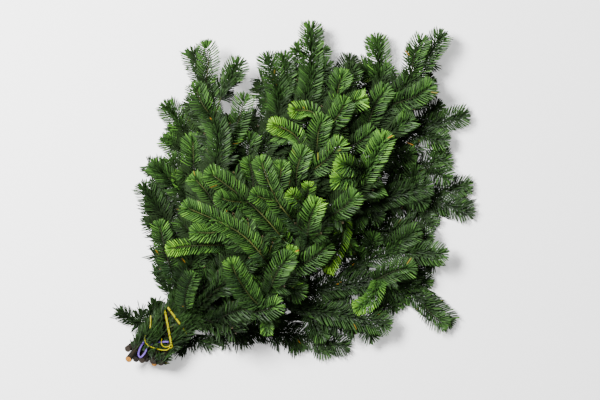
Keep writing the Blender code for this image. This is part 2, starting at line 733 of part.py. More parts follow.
def ribbon_node(finish):
    """The lilac ribbon, leaning half on edge as it loops."""
    line = [Vector(point) for point in smooth_path(RIBBON_PATH, step=4.0)]
    shape = bmesh.new()
    strip(shape, line, [Vector((0.0, 0.0, 1.0))] * len(line), RIBBON_WIDTH, RIBBON_THICKNESS)
    object_of(shape, "lilac_ribbon", finish)


def main():
    for old in list(bpy.data.objects):
        bpy.data.objects.remove(old)
    bark = material("bark", (0.16, 0.10, 0.05), 0.85)
    needles = material("needles", (0.05, 0.16, 0.035), 0.5)
    stems, leafy = settle_bunch()
    for name, path in stems.items():
        stem_node(name, path, bark)
    for name, twigs in leafy.items():
        leafy_node(name, twigs, needles)
    strap_node(material("yellow_strap", (0.72, 0.74, 0.05), 0.4))
    ribbon_node(material("lilac_ribbon", (0.42, 0.25, 0.68), 0.5))


main()
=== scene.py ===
# %% [markdown]
# # A tied bunch of fir branches
#
# Twelve cut fir branches lie in a fan, tied at their butts with a yellow strap. This lesson dresses
# the solid model of the bunch: each stem gets its bark, each leader and lateral its twigs and needles,
# and the strap and the lilac ribbon their plastic and satin. Lengths in the layout are millimetres
# from the tie, and a finished piece is in metres, in the place of the solid that it stands for.

# %% Read the solid model
import math
from dataclasses import dataclass

import bmesh
import bpy
import numpy as np
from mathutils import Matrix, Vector


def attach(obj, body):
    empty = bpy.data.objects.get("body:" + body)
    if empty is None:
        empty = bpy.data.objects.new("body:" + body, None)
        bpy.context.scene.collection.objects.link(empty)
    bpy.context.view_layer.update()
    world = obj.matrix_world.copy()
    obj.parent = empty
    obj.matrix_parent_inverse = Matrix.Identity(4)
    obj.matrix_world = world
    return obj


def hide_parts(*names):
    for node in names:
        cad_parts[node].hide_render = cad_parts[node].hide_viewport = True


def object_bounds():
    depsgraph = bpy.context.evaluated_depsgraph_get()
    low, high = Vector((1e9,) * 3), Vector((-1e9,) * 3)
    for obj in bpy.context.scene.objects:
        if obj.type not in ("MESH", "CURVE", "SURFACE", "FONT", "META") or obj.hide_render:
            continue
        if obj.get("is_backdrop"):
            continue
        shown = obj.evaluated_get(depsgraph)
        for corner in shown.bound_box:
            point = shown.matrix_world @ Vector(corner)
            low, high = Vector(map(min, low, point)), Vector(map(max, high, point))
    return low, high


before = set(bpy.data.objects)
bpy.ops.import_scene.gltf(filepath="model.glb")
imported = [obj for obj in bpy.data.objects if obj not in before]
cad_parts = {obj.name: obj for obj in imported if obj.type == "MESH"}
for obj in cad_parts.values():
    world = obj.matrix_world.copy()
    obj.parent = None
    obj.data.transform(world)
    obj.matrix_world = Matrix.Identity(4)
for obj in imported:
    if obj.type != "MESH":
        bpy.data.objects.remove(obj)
cad_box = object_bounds()
print("solids:", len(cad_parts))

# %% [markdown]
# ## The measures of the bunch
#
# A twig is placed by a few plain numbers: how thick the wood is, how far the needles reach from it,
# and how high each row of stems lies in the tie. They are the same values that shaped the solids, so
# the needles grow exactly where the solids stand.

# %% Measures
MM = 0.001
TIE_TO_MIDDLE = np.array([237.0, -5.0, 0.0])
BUTT_RADIUS = 4.6
BARE_END_RADIUS = 3.4
NECK_RADIUS = 1.6
CUT_SLANT = 0.9
NEEDLE_REACH = 18.0
OLD_REACH = 13.0
OLD_AFTER = 150.0
NEEDLES_ABOVE = 9.0
NEEDLES_BELOW = 3.5
WIDENING = 0.55
TIP_ROUNDING = 15.0
PAIR_ANGLE = math.radians(48.0)
PAIRS_FROM = 0.22
PAIRS_TO = 0.74
OVER_ANGLE = math.radians(15.0)
OVER_LENGTH = 62.0
OVER_TO = 0.84
OVER_LIFT = 7.0
OVER_RUN = 18.0
CELL = 4.0
PATH_STEP = 5.0
GAP = 1.6
TOUCH_GAP = 0.5
BESIDE_GAP = 2.2
FLOOR_GAP = 0.8
JOINT_GAP = 0.35
REACHES_TRIED = (14.0, 11.0, 8.0, 6.0, 4.0, 2.5, 1.2)
DROOP_RADIUS = 420.0
JOINT_RUN = 34.0
PILE_LOW = (-120.0, -320.0)
PILE_SIZE = (720.0, 640.0)
ROW_HEIGHTS = (7.4, 18.3, 29.2)
COLUMNS = (21.5, 10.5, -0.5, -11.5)
TIED_FROM = -28.0
TIED_TO = 18.0
CROWDED = 15.0
CROWDED_ALONG = 75.0
print("rows of stems at", ROW_HEIGHTS, "mm")

# %% [markdown]
# ## The branches
#
# A fir branch is a leader with laterals that fork from it, and each of them carries side shoots. The
# table names every branch, the slot that its stem takes in the tie, and the places that its shoots
# pass and end at. A table is easier to correct against a photograph than code is.

# %% What a branch is


@dataclass
class Spray:
    """A lateral: it leaves the leader at fork and ends at tip. A shoot is (share of the way, tip)."""

    name: str
    fork: tuple
    tip: tuple
    via: tuple = None
    shoots: tuple = ()
    pairs: int = 0
    pair_length: float = 42.0
    curl: float = 0.0
    reach: float = NEEDLE_REACH


@dataclass
class Branch:
    """A cut branch. Its axis runs from the butt, through its slot in the tie, to the leader's tip.

    over is the number of shoots on top of the leader and the share of the way where the first one grows.
    """

    name: str
    column: int
    row: int
    butt: tuple
    axis: tuple
    shoots: tuple = ()
    pairs: int = 0
    pair_length: float = 45.0
    over: tuple = (0, 0.0)
    bare: float = 12.0
    sprays: tuple = ()


# %% The twelve branches
BRANCHES = (
    Branch("left_back", 0, 0, (-64, 22),
           ((62, 42), (120, 82), (172, 126), (198, 180), (207, 237)), pairs=2,
           shoots=((0.68, (172, 206)), (0.70, (238, 204)), (0.40, (138, 148)), (0.34, (170, 94))), sprays=(
        Spray("edge", (50, 36), (94, 156), via=(76, 94), shoots=((0.40, (58, 98)), (0.5, (112, 128)))),
        Spray("inner", (96, 64), (164, 178), via=(136, 124), shoots=((0.55, (192, 154)),)),
        Spray("butt_spray", (-16, 22), (-47, 80), via=(-34, 40), reach=13.0,
              shoots=((0.24, (-58, 28)), (0.20, (10, 46)), (0.36, (-14, 54)))),
    )),
    Branch("upper_right", 1, 0, (-70, 12),
           ((120, 28), (260, 46), (370, 66), (442, 96)), pairs=3, pair_length=50.0,
           shoots=((0.84, (402, 108)),), sprays=(
        Spray("left", (258, 46), (392, 126), via=(332, 90), pairs=2, shoots=((0.40, (330, 130)),)),
        Spray("right", (280, 49), (452, 34), via=(370, 34), pairs=2),
    )),
    Branch("lower_middle", 2, 0, (-62, -2),
           ((110, -38), (240, -70), (350, -98), (404, -184)), pairs=3, pair_length=50.0,
           shoots=((0.84, (432, -154)), (0.78, (352, -162))), sprays=(
        Spray("right", (245, -71), (340, -168), via=(304, -118), pairs=2),
        Spray("left", (290, -82), (438, -107), via=(372, -72), pairs=2),
    )),
    Branch("bottom_edge", 3, 0, (-56, -16),
           ((45, -50), (85, -98), (112, -136), (150, -194)),
           shoots=((0.26, (48, -90)), (0.45, (66, -116)), (0.62, (96, -152)), (0.74, (124, -184)),
                   (0.36, (94, -64)), (0.24, (70, -44))), sprays=(
        Spray("outer", (8, -14), (18, -58), via=(6, -34), reach=13.0,
              shoots=((0.22, (-34, -30)), (0.45, (-6, -48)), (0.50, (32, -68)))),
        Spray("inner", (60, -68), (190, -182), via=(130, -112), pairs=2),
    )),
    Branch("left_edge", 0, 1, (-72, 26),
           ((45, 50), (88, 104), (106, 178)),
           shoots=((0.55, (72, 138)),), sprays=(
        Spray("low", (22, 34), (52, 88), via=(30, 62), shoots=((0.4, (20, 58)),), reach=15.0),
        Spray("inner", (52, 58), (136, 189), via=(130, 102), shoots=((0.5, (156, 156)),)),
    )),
    Branch("upper_middle", 1, 1, (-74, 8),
           ((110, 43), (220, 78), (312, 112), (357, 183)), pairs=4, pair_length=50.0, over=(5, 0.17),
           shoots=((0.78, (318, 164)), (0.80, (376, 168)), (0.58, (272, 140)), (0.60, (294, 74))), sprays=(
        Spray("right", (208, 75), (432, 168), via=(344, 93), pairs=3, shoots=((0.62, (414, 112)),)),
        Spray("left", (165, 60), (262, 158), via=(218, 108), pairs=2),
    )),
    Branch("lower_right", 2, 1, (-64, -2),
           ((130, -20), (270, -26), (400, -34), (498, -79)), pairs=5, pair_length=50.0, over=(4, 0.54),
           shoots=((0.84, (452, -88)), (0.82, (484, -44))), sprays=(
        Spray("left", (288, -27), (500, -6), via=(398, 4), pairs=2),
        Spray("right", (256, -27), (392, -112), via=(325, -74), pairs=2, shoots=((0.3, (262, -82)),)),
    )),
    Branch("bottom", 3, 1, (-60, -14),
           ((90, -54), (170, -98), (236, -150), (262, -200), (273, -274)),
           pairs=3, pair_length=48.0, over=(4, 0.26),
           shoots=((0.72, (296, -212)), (0.66, (236, -206)), (0.66, (292, -176)), (0.36, (188, -68))),
           sprays=(
        Spray("far", (176, -103), (338, -196), via=(270, -132),
              shoots=((0.45, (336, -146)), (0.22, (256, -94)), (0.3, (290, -100)))),
        Spray("near", (104, -61), (212, -212), via=(164, -138), pairs=2, shoots=((0.6, (168, -182)),)),
    )),
    Branch("upper_left", 0, 2, (-80, 15),
           ((90, 52), (160, 92), (222, 138), (240, 170), (264, 208), (286, 263)), pairs=3, over=(6, 0.22),
           shoots=((0.66, (238, 214)), (0.56, (298, 162))), sprays=(
        Spray("right", (236, 163), (328, 199), via=(278, 184)),
        Spray("left", (122, 69), (206, 174), via=(166, 130), shoots=((0.4, (150, 152)),)),
        Spray("low", (33, 31), (90, 123), via=(64, 82), shoots=((0.45, (58, 96)),), reach=15.0),
    )),
    Branch("centre", 1, 2, (-68, 1),
           ((150, 12), (300, 12), (430, 8), (554, 27)), pairs=3, over=(5, 0.50),
           shoots=((0.80, (490, -22)),), sprays=(
        Spray("left", (380, 10), (484, 93), via=(440, 42), shoots=((0.45, (432, 82)), (0.4, (470, 46)))),
        Spray("right", (320, 12), (440, -26), via=(385, -16)),
        Spray("near_tie", (30, 12), (79, 34), via=(54, 21), reach=14.0),
        Spray("lime_left", (146, 12), (64, 88), via=(104, 56), reach=12.0, curl=9.0),
    )),
    Branch("top_right", 2, 2, (-58, -11),
           ((140, -4), (250, 12), (330, 42), (432, 84)), pairs=3, over=(5, 0.52),
           shoots=((0.86, (412, 36)), (0.6, (300, -4)), (0.76, (372, 92))), sprays=(
        Spray("lime_left", (270, 17), (287, 113), via=(302, 66), reach=13.0, curl=10.0),
        Spray("lime_right", (312, 35), (318, 104), via=(342, 72), reach=13.0, curl=12.0),
        Spray("low", (225, 8), (336, 12), via=(285, -6), reach=14.0),
    )),
    Branch("top_left", 3, 2, (-52, -20),
           ((60, -42), (130, -58), (200, -49), (265, -38), (318, -38), (397, -16)), over=(8, 0.06),
           shoots=((0.34, (160, -96)), (0.50, (157, -36)), (0.83, (292, -4)), (0.85, (316, 10)),
                   (0.86, (322, -76)), (0.20, (104, -98)), (0.24, (76, -12)), (0.62, (262, -84)),
                   (0.42, (205, -88))), sprays=(
        Spray("first", (94, -52), (123, 18), via=(108, -16), reach=15.0),
        Spray("second", (150, -57), (125, 115), via=(156, 24), reach=15.0,
              shoots=((0.50, (106, 82)), (0.58, (164, 137)))),
        Spray("third", (186, -51), (183, 125), via=(194, 34), reach=16.0,
              shoots=((0.48, (238, 99)), (0.5, (166, 92)))),
        Spray("fourth", (216, -46), (249, 87), via=(222, 24), reach=15.0,
              shoots=((0.5, (268, 62)), (0.42, (204, 62)))),
        Spray("fifth", (250, -40), (243, 28), reach=13.0, curl=8.0, shoots=((0.3, (274, 16)),)),
        Spray("back_turned", (290, -38), (194, -95), via=(252, -72), reach=13.0, curl=8.0,
              shoots=((0.5, (222, -56)),)),
    )),
)
print("branches:", len(BRANCHES), "laterals:", sum(len(branch.sprays) for branch in BRANCHES))

# %% [markdown]
# ## Paths of the twigs
#
# A twig is a smooth curve through its table's points. Side shoots leave wide of their parent and turn
# forward, and the pairs along a leader vary a little, as grown ones do.

# %% Smooth paths and side shoots


def smooth_path(points, step=PATH_STEP):
    """Points about one step apart on a smooth curve through the given ones."""
    points = [np.array(point, float) for point in points]
    ends = [2 * points[0] - points[1], *points, 2 * points[-1] - points[-2]]
    dense = []
    for before, start, end, after in zip(ends, ends[1:], ends[2:], ends[3:]):
        for share in np.linspace(0.0, 1.0, 24, endpoint=False):
            dense.append(0.5 * (
                2 * start
                + (end - before) * share
                + (2 * before - 5 * start + 4 * end - after) * share**2
                + (3 * start - before - 3 * end + after) * share**3
            ))
    dense = np.array([*dense, points[-1]])
    along = lengths_along(dense)
    count = max(4, round(along[-1] / step) + 1)
    even = np.linspace(0.0, along[-1], count)
    return np.stack([np.interp(even, along, dense[:, axis]) for axis in range(dense.shape[1])], axis=1)


def lengths_along(path):
    """The distance of each point of a path from its start."""
    return np.concatenate([[0.0], np.cumsum(np.linalg.norm(np.diff(path, axis=0), axis=1))])


def nearest(path, point):
    """The index of the path's point that is nearest to a place in plan."""
    return int(np.argmin(np.linalg.norm(path[:, :2] - np.array(point, float), axis=1)))


def heading_at(path, index):
    """The direction of a path in plan at one of its points."""
    step = path[min(index + 1, len(path) - 1), :2] - path[max(index - 1, 0), :2]
    return step / np.linalg.norm(step)


def shoot_plan(start, heading, tip):
    """A shoot in plan: it leaves wide of its parent and turns forward."""
    start, tip = np.array(start, float), np.array(tip, float)
    chord = tip - start
    side = np.array([-chord[1], chord[0]])
    backward = -1.0 if side @ heading > 0 else 1.0
    return smooth_path([start, start + 0.5 * chord + 0.07 * backward * side, tip])


def turned_tip(path, index, turn, length):
    """The tip of a straight shoot that leaves the path at an angle to it."""
    heading = heading_at(path, index)
    return (
        path[index, 0] + length * (heading[0] * math.cos(turn) - heading[1] * math.sin(turn)),
        path[index, 1] + length * (heading[0] * math.sin(turn) + heading[1] * math.cos(turn)),
    )


def paired_shoots(path, pairs, length):
    """Shoots in pairs along a path, each a little different from its rule."""
    shoots = []
    for number in range(pairs):
        share = PAIRS_FROM + (PAIRS_TO - PAIRS_FROM) * number / max(1, pairs - 1)
        index = round(share * (len(path) - 1))
        for side in (-1.0, 1.0):
            vary = math.sin(12.9 * path[index, 0] + 7.3 * path[index, 1] + 2.1 * side)
            turn = side * (PAIR_ANGLE + 0.16 * vary)
            reach = length * (1.0 + 0.16 * vary) * (1.1 - 0.35 * share)
            shoots.append((share + 0.02 * side, turned_tip(path, index, turn, reach)))
    return tuple(shoots)


def over_shoots(path, count, first):
    """Shoots one after another on top of a leader, to one side of it and the other."""
    shoots = []
    for number in range(count):
        share = first + (OVER_TO - first) * number / max(1, count - 1)
        index = round(share * (len(path) - 1))
        side = 1.0 if number % 2 == 0 else -1.0
        vary = math.sin(9.7 * path[index, 0] + 5.1 * path[index, 1])
        turn = side * (OVER_ANGLE + 0.12 * vary)
        shoots.append((share, turned_tip(path, index, turn, OVER_LENGTH * (1.0 + 0.14 * vary))))
    return tuple(shoots)


# %% [markdown]
# ## Laying the branches down
#
# The branches rest on each other. A grid of heights remembers how high the bunch already reaches, and
# each new twig is draped over it as a springy stick that is held at its joint. Where it is held lower
# than the pile, its needles are pressed in.

# %% The pile


class Pile:
    def __init__(self):
        counts = [int(size / CELL) for size in PILE_SIZE]
        self.top = np.full(counts, FLOOR_GAP - GAP)
        self.x, self.y = np.meshgrid(
            *[low + CELL * (np.arange(count) + 0.5) for low, count in zip(PILE_LOW, counts)],
            indexing="ij",
        )

    def near(self, point, reach):
        """The cells within reach of a point, and how near the middle each is: 1 to 0."""
        low = [int((point[axis] - reach - PILE_LOW[axis]) / CELL) for axis in (0, 1)]
        high = [int((point[axis] + reach - PILE_LOW[axis]) / CELL) + 1 for axis in (0, 1)]
        window = (slice(low[0], high[0]), slice(low[1], high[1]))
        away = np.hypot(self.x[window] - point[0], self.y[window] - point[1])
        return window, np.clip(1.0 - away / reach, 0.0, 1.0), away < reach

    def rest_heights(self, path, reaches, below):
        """The lowest height of each point of the path that clears what lies under it."""
        heights = []
        for point, reach in zip(path, reaches):
            window, _, inside = self.near(point, max(reach + 1.0, 0.8 * CELL))
            depth = below * min(1.0, reach / 8.0)
            heights.append(depth + np.max(np.where(inside, self.top[window], FLOOR_GAP - GAP)))
        return np.array(heights) + GAP

    def lay(self, path, reaches, above, below):
        """Adds a ridged body along the path to the pile."""
        for point, reach in zip(path, reaches):
            window, nearness, inside = self.near(point, max(reach + 2.0, 0.8 * CELL))
            swell = min(1.0, reach / 8.0)
            height = point[2] + swell * ((above + below) * nearness - below)
            self.top[window] = np.where(inside, np.maximum(self.top[window], height), self.top[window])


# %% How a twig rests on the pile


def draped(along, rest, start_height, joint_run=JOINT_RUN):
    """The heights of a springy stick laid over the rest heights, held at its start."""
    apart = along[:, None] - along[None, :]
    bent = np.max(rest[None, :] - apart**2 / (2.0 * DROOP_RADIUS), axis=1)
    padded = np.pad(bent, 3, mode="edge")
    soft = np.convolve(padded, np.ones(7) / 7.0, mode="valid")
    soft += max(0.0, float(np.max(rest - soft)))
    share = np.clip(along / joint_run, 0.0, 1.0)
    return start_height + (soft - start_height) * share * share * (3.0 - 2.0 * share)


def rounded_tip(along, reach):
    """The reach of the needles, full along the twig and round at its tip."""
    to_tip = np.clip((along[-1] - along) / TIP_ROUNDING, 0.0, 1.0)
    return reach * np.sqrt(np.clip(1.0 - (1.0 - to_tip) ** 2, 0.0, 1.0))


def reaches_of(along, reach):
    """How far the needles reach from a twig: narrow at the joint, full, and round at the tip."""
    return np.clip(np.minimum(NECK_RADIUS + WIDENING * along, rounded_tip(along, reach)), 0.4, None)


def leader_reaches(along, reach):
    """The same for a leader, whose older needles near the butt reach less far."""
    older = np.interp(along[-1] - along, [0.0, 0.4 * OLD_AFTER, OLD_AFTER], [reach, reach, OLD_REACH])
    return np.clip(np.minimum(BARE_END_RADIUS + 0.4 * along, rounded_tip(along, 1.0) * older), 0.4, None)


@dataclass
class Twig:
    """One shoot, settled in the pile. It is buried where not even its wood clears the pile."""

    path: np.ndarray
    reaches: np.ndarray
    buried: bool = False
    on_top: bool = False


def beside(plan, reaches, parent):
    """The reaches, kept short of the needles of the parent that a twig grows beside."""
    if parent is None:
        return reaches
    away = np.linalg.norm(plan[:, None, :2] - parent.path[None, :, :2], axis=2)
    free = np.min(away - parent.reaches[None, :], axis=1) - BESIDE_GAP
    return np.minimum(reaches, np.maximum(free, 1.2))


def squeezed(pile, path, reaches):
    """The reaches, pressed in where a body held low at its joint would meet the pile."""
    limits = reaches.copy()
    buried = False
    for index, point in enumerate(path):
        for tried in (reaches[index], *REACHES_TRIED):
            limits[index] = min(limits[index], tried)
            lowest = pile.rest_heights([point], [limits[index]], NEEDLES_BELOW)[0] - GAP + TOUCH_GAP
            if point[2] >= lowest:
                break
        else:
            buried = True
    pressed = limits < reaches - 0.1
    padded = np.pad(np.where(pressed, limits, np.inf), 2, mode="edge")
    spread = np.min([padded[shift:shift + len(limits)] for shift in range(5)], axis=0)
    return np.minimum(reaches, spread), buried


def settle_twig(pile, plan, start_height, reach, curl, parent=None):
    along = lengths_along(plan)
    reaches = beside(plan, reaches_of(along, reach), parent)
    rest = pile.rest_heights(plan, reaches, NEEDLES_BELOW)
    heights = draped(along, rest, start_height) + curl * (along / along[-1]) ** 3
    path = np.column_stack([plan, heights])
    return Twig(path, *squeezed(pile, path, reaches))


# %% Side shoots and laterals on the pile


def crowds(plan, parent, laterals):
    """Whether a shoot crosses the parent of its axis, or comes close to the start of a lateral."""
    if parent is not None:
        away = np.linalg.norm(plan[:, None, :] - parent.path[None, :, :2], axis=2)
        if np.min(away - parent.reaches[None, :]) < BESIDE_GAP + 1.5:
            return True
    for lateral in laterals:
        near = lateral[lengths_along(lateral) < CROWDED_ALONG]
        away = np.linalg.norm(plan[:, None, :] - near[None, :, :], axis=2)
        if np.min(away) < CROWDED:
            return True
    return False


def settle_shoots(pile, axis, shoots, reach, curl, parent=None, laterals=()):
    """The side shoots of a settled axis, laid on the pile. Those that crowd a lateral are left out."""
    twigs = []
    for share, tip in shoots:
        index = round(share * (len(axis) - 1))
        plan = shoot_plan(axis[index, :2], heading_at(axis, index), tip)
        if not crowds(plan, parent, laterals):
            twig = settle_twig(pile, plan, axis[index, 2], reach, curl, parent)
            if not twig.buried:
                twigs.append(twig)
    for twig in twigs:
        pile.lay(twig.path, twig.reaches, NEEDLES_ABOVE, NEEDLES_BELOW)
    return twigs


def settle_over(pile, leader, shoots, reach):
    """Shoots on top of a settled leader, clear of all that was laid before it."""
    twigs = []
    for share, tip in shoots:
        index = round(share * (len(leader.path) - 1))
        plan = shoot_plan(leader.path[index, :2], heading_at(leader.path, index), tip)
        along = lengths_along(plan)
        reaches = reaches_of(along, reach)
        wood = np.array([leader.path[nearest(leader.path, point), 2] for point in plan])
        rest = np.maximum(pile.rest_heights(plan, reaches, NEEDLES_BELOW), wood + OVER_LIFT)
        path = np.column_stack([plan, draped(along, rest, leader.path[index, 2], OVER_RUN)])
        twig = Twig(path, *squeezed(pile, path, reaches), on_top=True)
        if not twig.buried:
            twigs.append(twig)
    for twig in twigs:
        pile.lay(twig.path, twig.reaches, NEEDLES_ABOVE, NEEDLES_BELOW)
    return twigs


def lateral_plan(spray, parent):
    """A lateral in plan, from the edge of the wood or needles it leaves, and the height there."""
    fork = nearest(parent.path, spray.fork)
    start, heading = parent.path[fork, :2], heading_at(parent.path, fork)
    if spray.via:
        plan = smooth_path([start, spray.via, spray.tip])
    else:
        plan = shoot_plan(start, heading, spray.tip)
    first = heading_at(plan, 1)
    lean = max(0.45, abs(first[0] * heading[1] - first[1] * heading[0]))
    clear = (parent.reaches[fork] + NECK_RADIUS + JOINT_GAP) / lean
    return plan[lengths_along(plan) > clear], parent.path[fork, 2]


def settle_spray(pile, spray, parent, whole):
    """The twigs of a lateral, its axis first, laid on the pile and clear of the whole main axis."""
    plan, height = lateral_plan(spray, parent)
    axis = settle_twig(pile, plan, height, spray.reach, spray.curl, whole)
    shoots = spray.shoots + paired_shoots(plan, spray.pairs, spray.pair_length)
    twigs = [axis, *settle_shoots(pile, axis.path, shoots, 0.92 * spray.reach, spray.curl, whole)]
    pile.lay(axis.path, axis.reaches, NEEDLES_ABOVE, NEEDLES_BELOW)
    return twigs


# %% The whole bunch


def settle_axis(pile, branch):
    """The bare stem, level through its slot in the tie, and the leader, laid over the pile."""
    column, height = COLUMNS[branch.column], ROW_HEIGHTS[branch.row]
    middle = 0.5 * (TIED_FROM + TIED_TO)
    slot = [(x, column) for x in (TIED_FROM, middle, TIED_TO)]
    plan = smooth_path([branch.butt, *slot, *branch.axis])
    tied = nearest(plan, slot[-1])
    bare_end = tied + round(branch.bare / PATH_STEP)
    free = plan[tied:]
    along = lengths_along(free)
    reaches = leader_reaches(np.maximum(along - branch.bare, 0.0), NEEDLE_REACH)
    rest = pile.rest_heights(free, np.maximum(reaches, 9.0), NEEDLES_BELOW)
    heights = np.full(len(plan), height)
    heights[tied:] = draped(along, rest, height, joint_run=60.0)
    path = np.column_stack([plan, heights])
    leafy = path[bare_end:].copy()
    leafy[0] += (leafy[1] - leafy[0]) * (JOINT_GAP + 0.3) / PATH_STEP
    return path[:bare_end + 1], Twig(leafy, *squeezed(pile, leafy, reaches[bare_end - tied:]))


def bare_radii(path):
    return np.linspace(BUTT_RADIUS, BARE_END_RADIUS, len(path))


def settle_bunch():
    """Lays every branch. Returns the stems' paths and the twigs of the rest, by node name."""
    pile = Pile()
    stems, leafy = {}, {}
    for branch in BRANCHES:
        stem, leader = settle_axis(pile, branch)
        stems[branch.name + "_stem"] = stem
        shoots = branch.shoots + paired_shoots(leader.path[:, :2], branch.pairs, branch.pair_length)
        wood = Twig(stem, bare_radii(stem))
        parents = [wood if spray.fork[0] < leader.path[0, 0] else leader for spray in branch.sprays]
        laterals = [lateral_plan(*pair)[0] for pair in zip(branch.sprays, parents)]
        side = settle_shoots(pile, leader.path, shoots, 0.92 * NEEDLE_REACH, 0.0, laterals=laterals)
        leafy[branch.name + "_leader"] = [leader, *side]
        whole = Twig(np.vstack([stem, leader.path]), np.append(bare_radii(stem), leader.reaches))
        for spray, parent in zip(branch.sprays, parents):
            leafy[branch.name + "_" + spray.name] = settle_spray(pile, spray, parent, whole)
        over = over_shoots(leader.path[:, :2], *branch.over)
        leafy[branch.name + "_leader"] += settle_over(pile, leader, over, 0.92 * NEEDLE_REACH)
        pile.lay(leader.path, leader.reaches, NEEDLES_ABOVE, NEEDLES_BELOW)
        pile.lay(stem, bare_radii(stem), BUTT_RADIUS, 0.0)
    return stems, leafy


stems, leafy = settle_bunch()
print("twigs laid:", sum(len(twigs) for twigs in leafy.values()))

# %% [markdown]
# ## How deep a place lies in the bunch
#
# Light is scarce inside a bunch. The finished pile tells how deep any place lies below the shoots on
# top, and the materials read it to darken the needles and wood there towards black: painted shade.

# %% Depth below the top of the bunch
DEEP_FROM = 1.5
DEEP_TO = 11.0


def soft_top():
    """The heights of the finished pile, averaged with the cells around each."""
    pile = Pile()
    for twigs in leafy.values():
        for twig in twigs:
            pile.lay(twig.path, twig.reaches, NEEDLES_ABOVE, NEEDLES_BELOW)
    wide = np.pad(pile.top, 2, mode="edge")
    rows, columns = pile.top.shape
    shifted = [wide[x:x + rows, y:y + columns] for x in range(5) for y in range(5)]
    return np.mean(shifted, axis=0)


TOP = soft_top()


def deep_at(places):
    """0 near the top of the bunch, and 1 deep inside it."""
    cells = ((places[:, :2] - np.array(PILE_LOW)) / CELL).astype(int)
    cells = np.clip(cells, 0, np.array(TOP.shape) - 1)
    depth = TOP[cells[:, 0], cells[:, 1]] - places[:, 2]
    share = np.clip((depth - DEEP_FROM) / (DEEP_TO - DEEP_FROM), 0.0, 1.0)
    return share * share * (3.0 - 2.0 * share)


print("highest place of the bunch:", round(float(TOP.max()), 1), "mm")

# %% [markdown]
# ## Writing materials as sums
#
# A material is a net of small nodes. Wrapping a socket in a class with the usual operators lets a
# pattern be written as arithmetic, such as `0.4 + 0.2 * grain`, and each operation adds its Math node.

# %% A socket with arithmetic


class Signal:
    """A value that a node gives, with operators that add Math nodes."""

    def __init__(self, finish, socket):
        self.finish = finish
        self.socket = socket

    def math(self, operation, first, second=0.0):
        return self.finish.node("ShaderNodeMath", {"operation": operation}, {0: first, 1: second})

    def __add__(self, other):
        return self.math("ADD", self, other)

    def __sub__(self, other):
        return self.math("SUBTRACT", self, other)

    def __rsub__(self, other):
        return self.math("SUBTRACT", other, self)

    def __mul__(self, other):
        return self.math("MULTIPLY", self, other)

    def __pow__(self, other):
        return self.math("POWER", self, other)

    __radd__ = __add__
    __rmul__ = __mul__

    def size(self):
        return self.math("ABSOLUTE", self)

    def wave(self):
        return self.math("SINE", self)

    def between(self, low, high):
        """0 below low, 1 above high, and a soft step between."""
        return self.finish.node(
            "ShaderNodeMapRange", {"interpolation_type": "SMOOTHSTEP"}, {0: self, 1: low, 2: high}
        )


# %% A material with one way to add a node


class Finish:
    """A material on the Principled shader. What is the same all over is set on the shader's socket."""

    def __init__(self, name, **even):
        self.material = bpy.data.materials.new(name)
        self.material.use_nodes = True
        self.nodes = self.material.node_tree.nodes
        self.shader = self.nodes["Principled BSDF"]
        for socket, value in even.items():
            self.feed(self.shader.inputs[socket.replace("_", " ")], value)

    def feed(self, socket, value):
        if isinstance(value, Signal):
            self.material.node_tree.links.new(value.socket, socket)
        else:
            socket.default_value = value

    def node(self, kind, settings=None, values=None, output=0):
        """Adds a node: its settings first, then the numbers or links of its sockets."""
        made = self.nodes.new(kind)
        for name, value in (settings or {}).items():
            if name == "stops":
                for stop, (place, colour) in zip(made.color_ramp.elements, value):
                    stop.position = place
                    stop.color = colour
                for place, colour in value[2:]:
                    made.color_ramp.elements.new(place).color = colour
            else:
                setattr(made, name, value)
        for key, value in (values or {}).items():
            self.feed(made.inputs[key], value)
        return Signal(self, made.outputs[output])

    def attribute(self, name, output="Fac"):
        return self.node("ShaderNodeAttribute", {"attribute_name": name}, output=output)

    def noise(self, scale, detail=2.0, place=None):
        """Soft spots, about 1/scale metres across, read at the object's own place."""
        if place is None:
            place = self.node("ShaderNodeTexCoord", output="Object")
        return self.node("ShaderNodeTexNoise", {}, {"Vector": place, "Scale": scale, "Detail": detail})

    def mixed(self, share, first, second):
        """A colour between two others."""
        return self.node(
            "ShaderNodeMix", {"data_type": "RGBA"}, {0: share, 6: first, 7: second}, output=2
        )

    def bump(self, height, depth):
        """Raises the surface by height (0 to 1) times depth, in metres."""
        made = self.node("ShaderNodeBump", {}, {"Height": height, "Distance": depth})
        self.feed(self.shader.inputs["Normal"], made)


def rgb(red, green, blue):
    return (red, green, blue, 1.0)


# %% [markdown]
# ## Needles
#
# A fir needle is flat, blunt and about 25 mm long, satin green above with a shallow groove, and paler
# below in two bands beside its keel. New growth is lime, old growth is nearly black green. Each needle
# carries numbers for its material: its tone from old to lime, its place along and across, a shade of
# its own, so that no two neighbours match, whether it is below, and how deep it lies. Painted shade
# darkens a needle near its root, at its edges and deep in the bunch.

# %% The green of the needles
needle_green = Finish("needle_green", IOR=1.22)
tone = needle_green.attribute("tone")
across = needle_green.attribute("across")
along_needle = needle_green.attribute("along")
own_shade = needle_green.attribute("shade")
deep = needle_green.attribute("deep")
clouds = needle_green.noise(38.0)
age = tone + 0.28 * (own_shade - 0.5) + 0.20 * (clouds - 0.5) + 0.16 * (along_needle - 0.5)
upper = needle_green.node(
    "ShaderNodeValToRGB",
    {"stops": (
        (0.0, rgb(0.006, 0.012, 0.004)), (1.0, rgb(0.30, 0.63, 0.04)), (0.22, rgb(0.011, 0.026, 0.006)),
        (0.45, rgb(0.027, 0.068, 0.014)), (0.65, rgb(0.062, 0.160, 0.024)), (0.82, rgb(0.140, 0.35, 0.030)),
    )},
    {0: age},
)
bands = across.size().between(0.18, 0.42) * (1.0 - across.size().between(0.80, 0.98))
below = needle_green.attribute("below")
# Painted shade: each needle is darker near its root by the twig, and darker at the edges of its blade.
root_shaded = needle_green.mixed(0.5 * (1.0 - along_needle.between(0.05, 0.50)), upper, rgb(0.004, 0.010, 0.003))
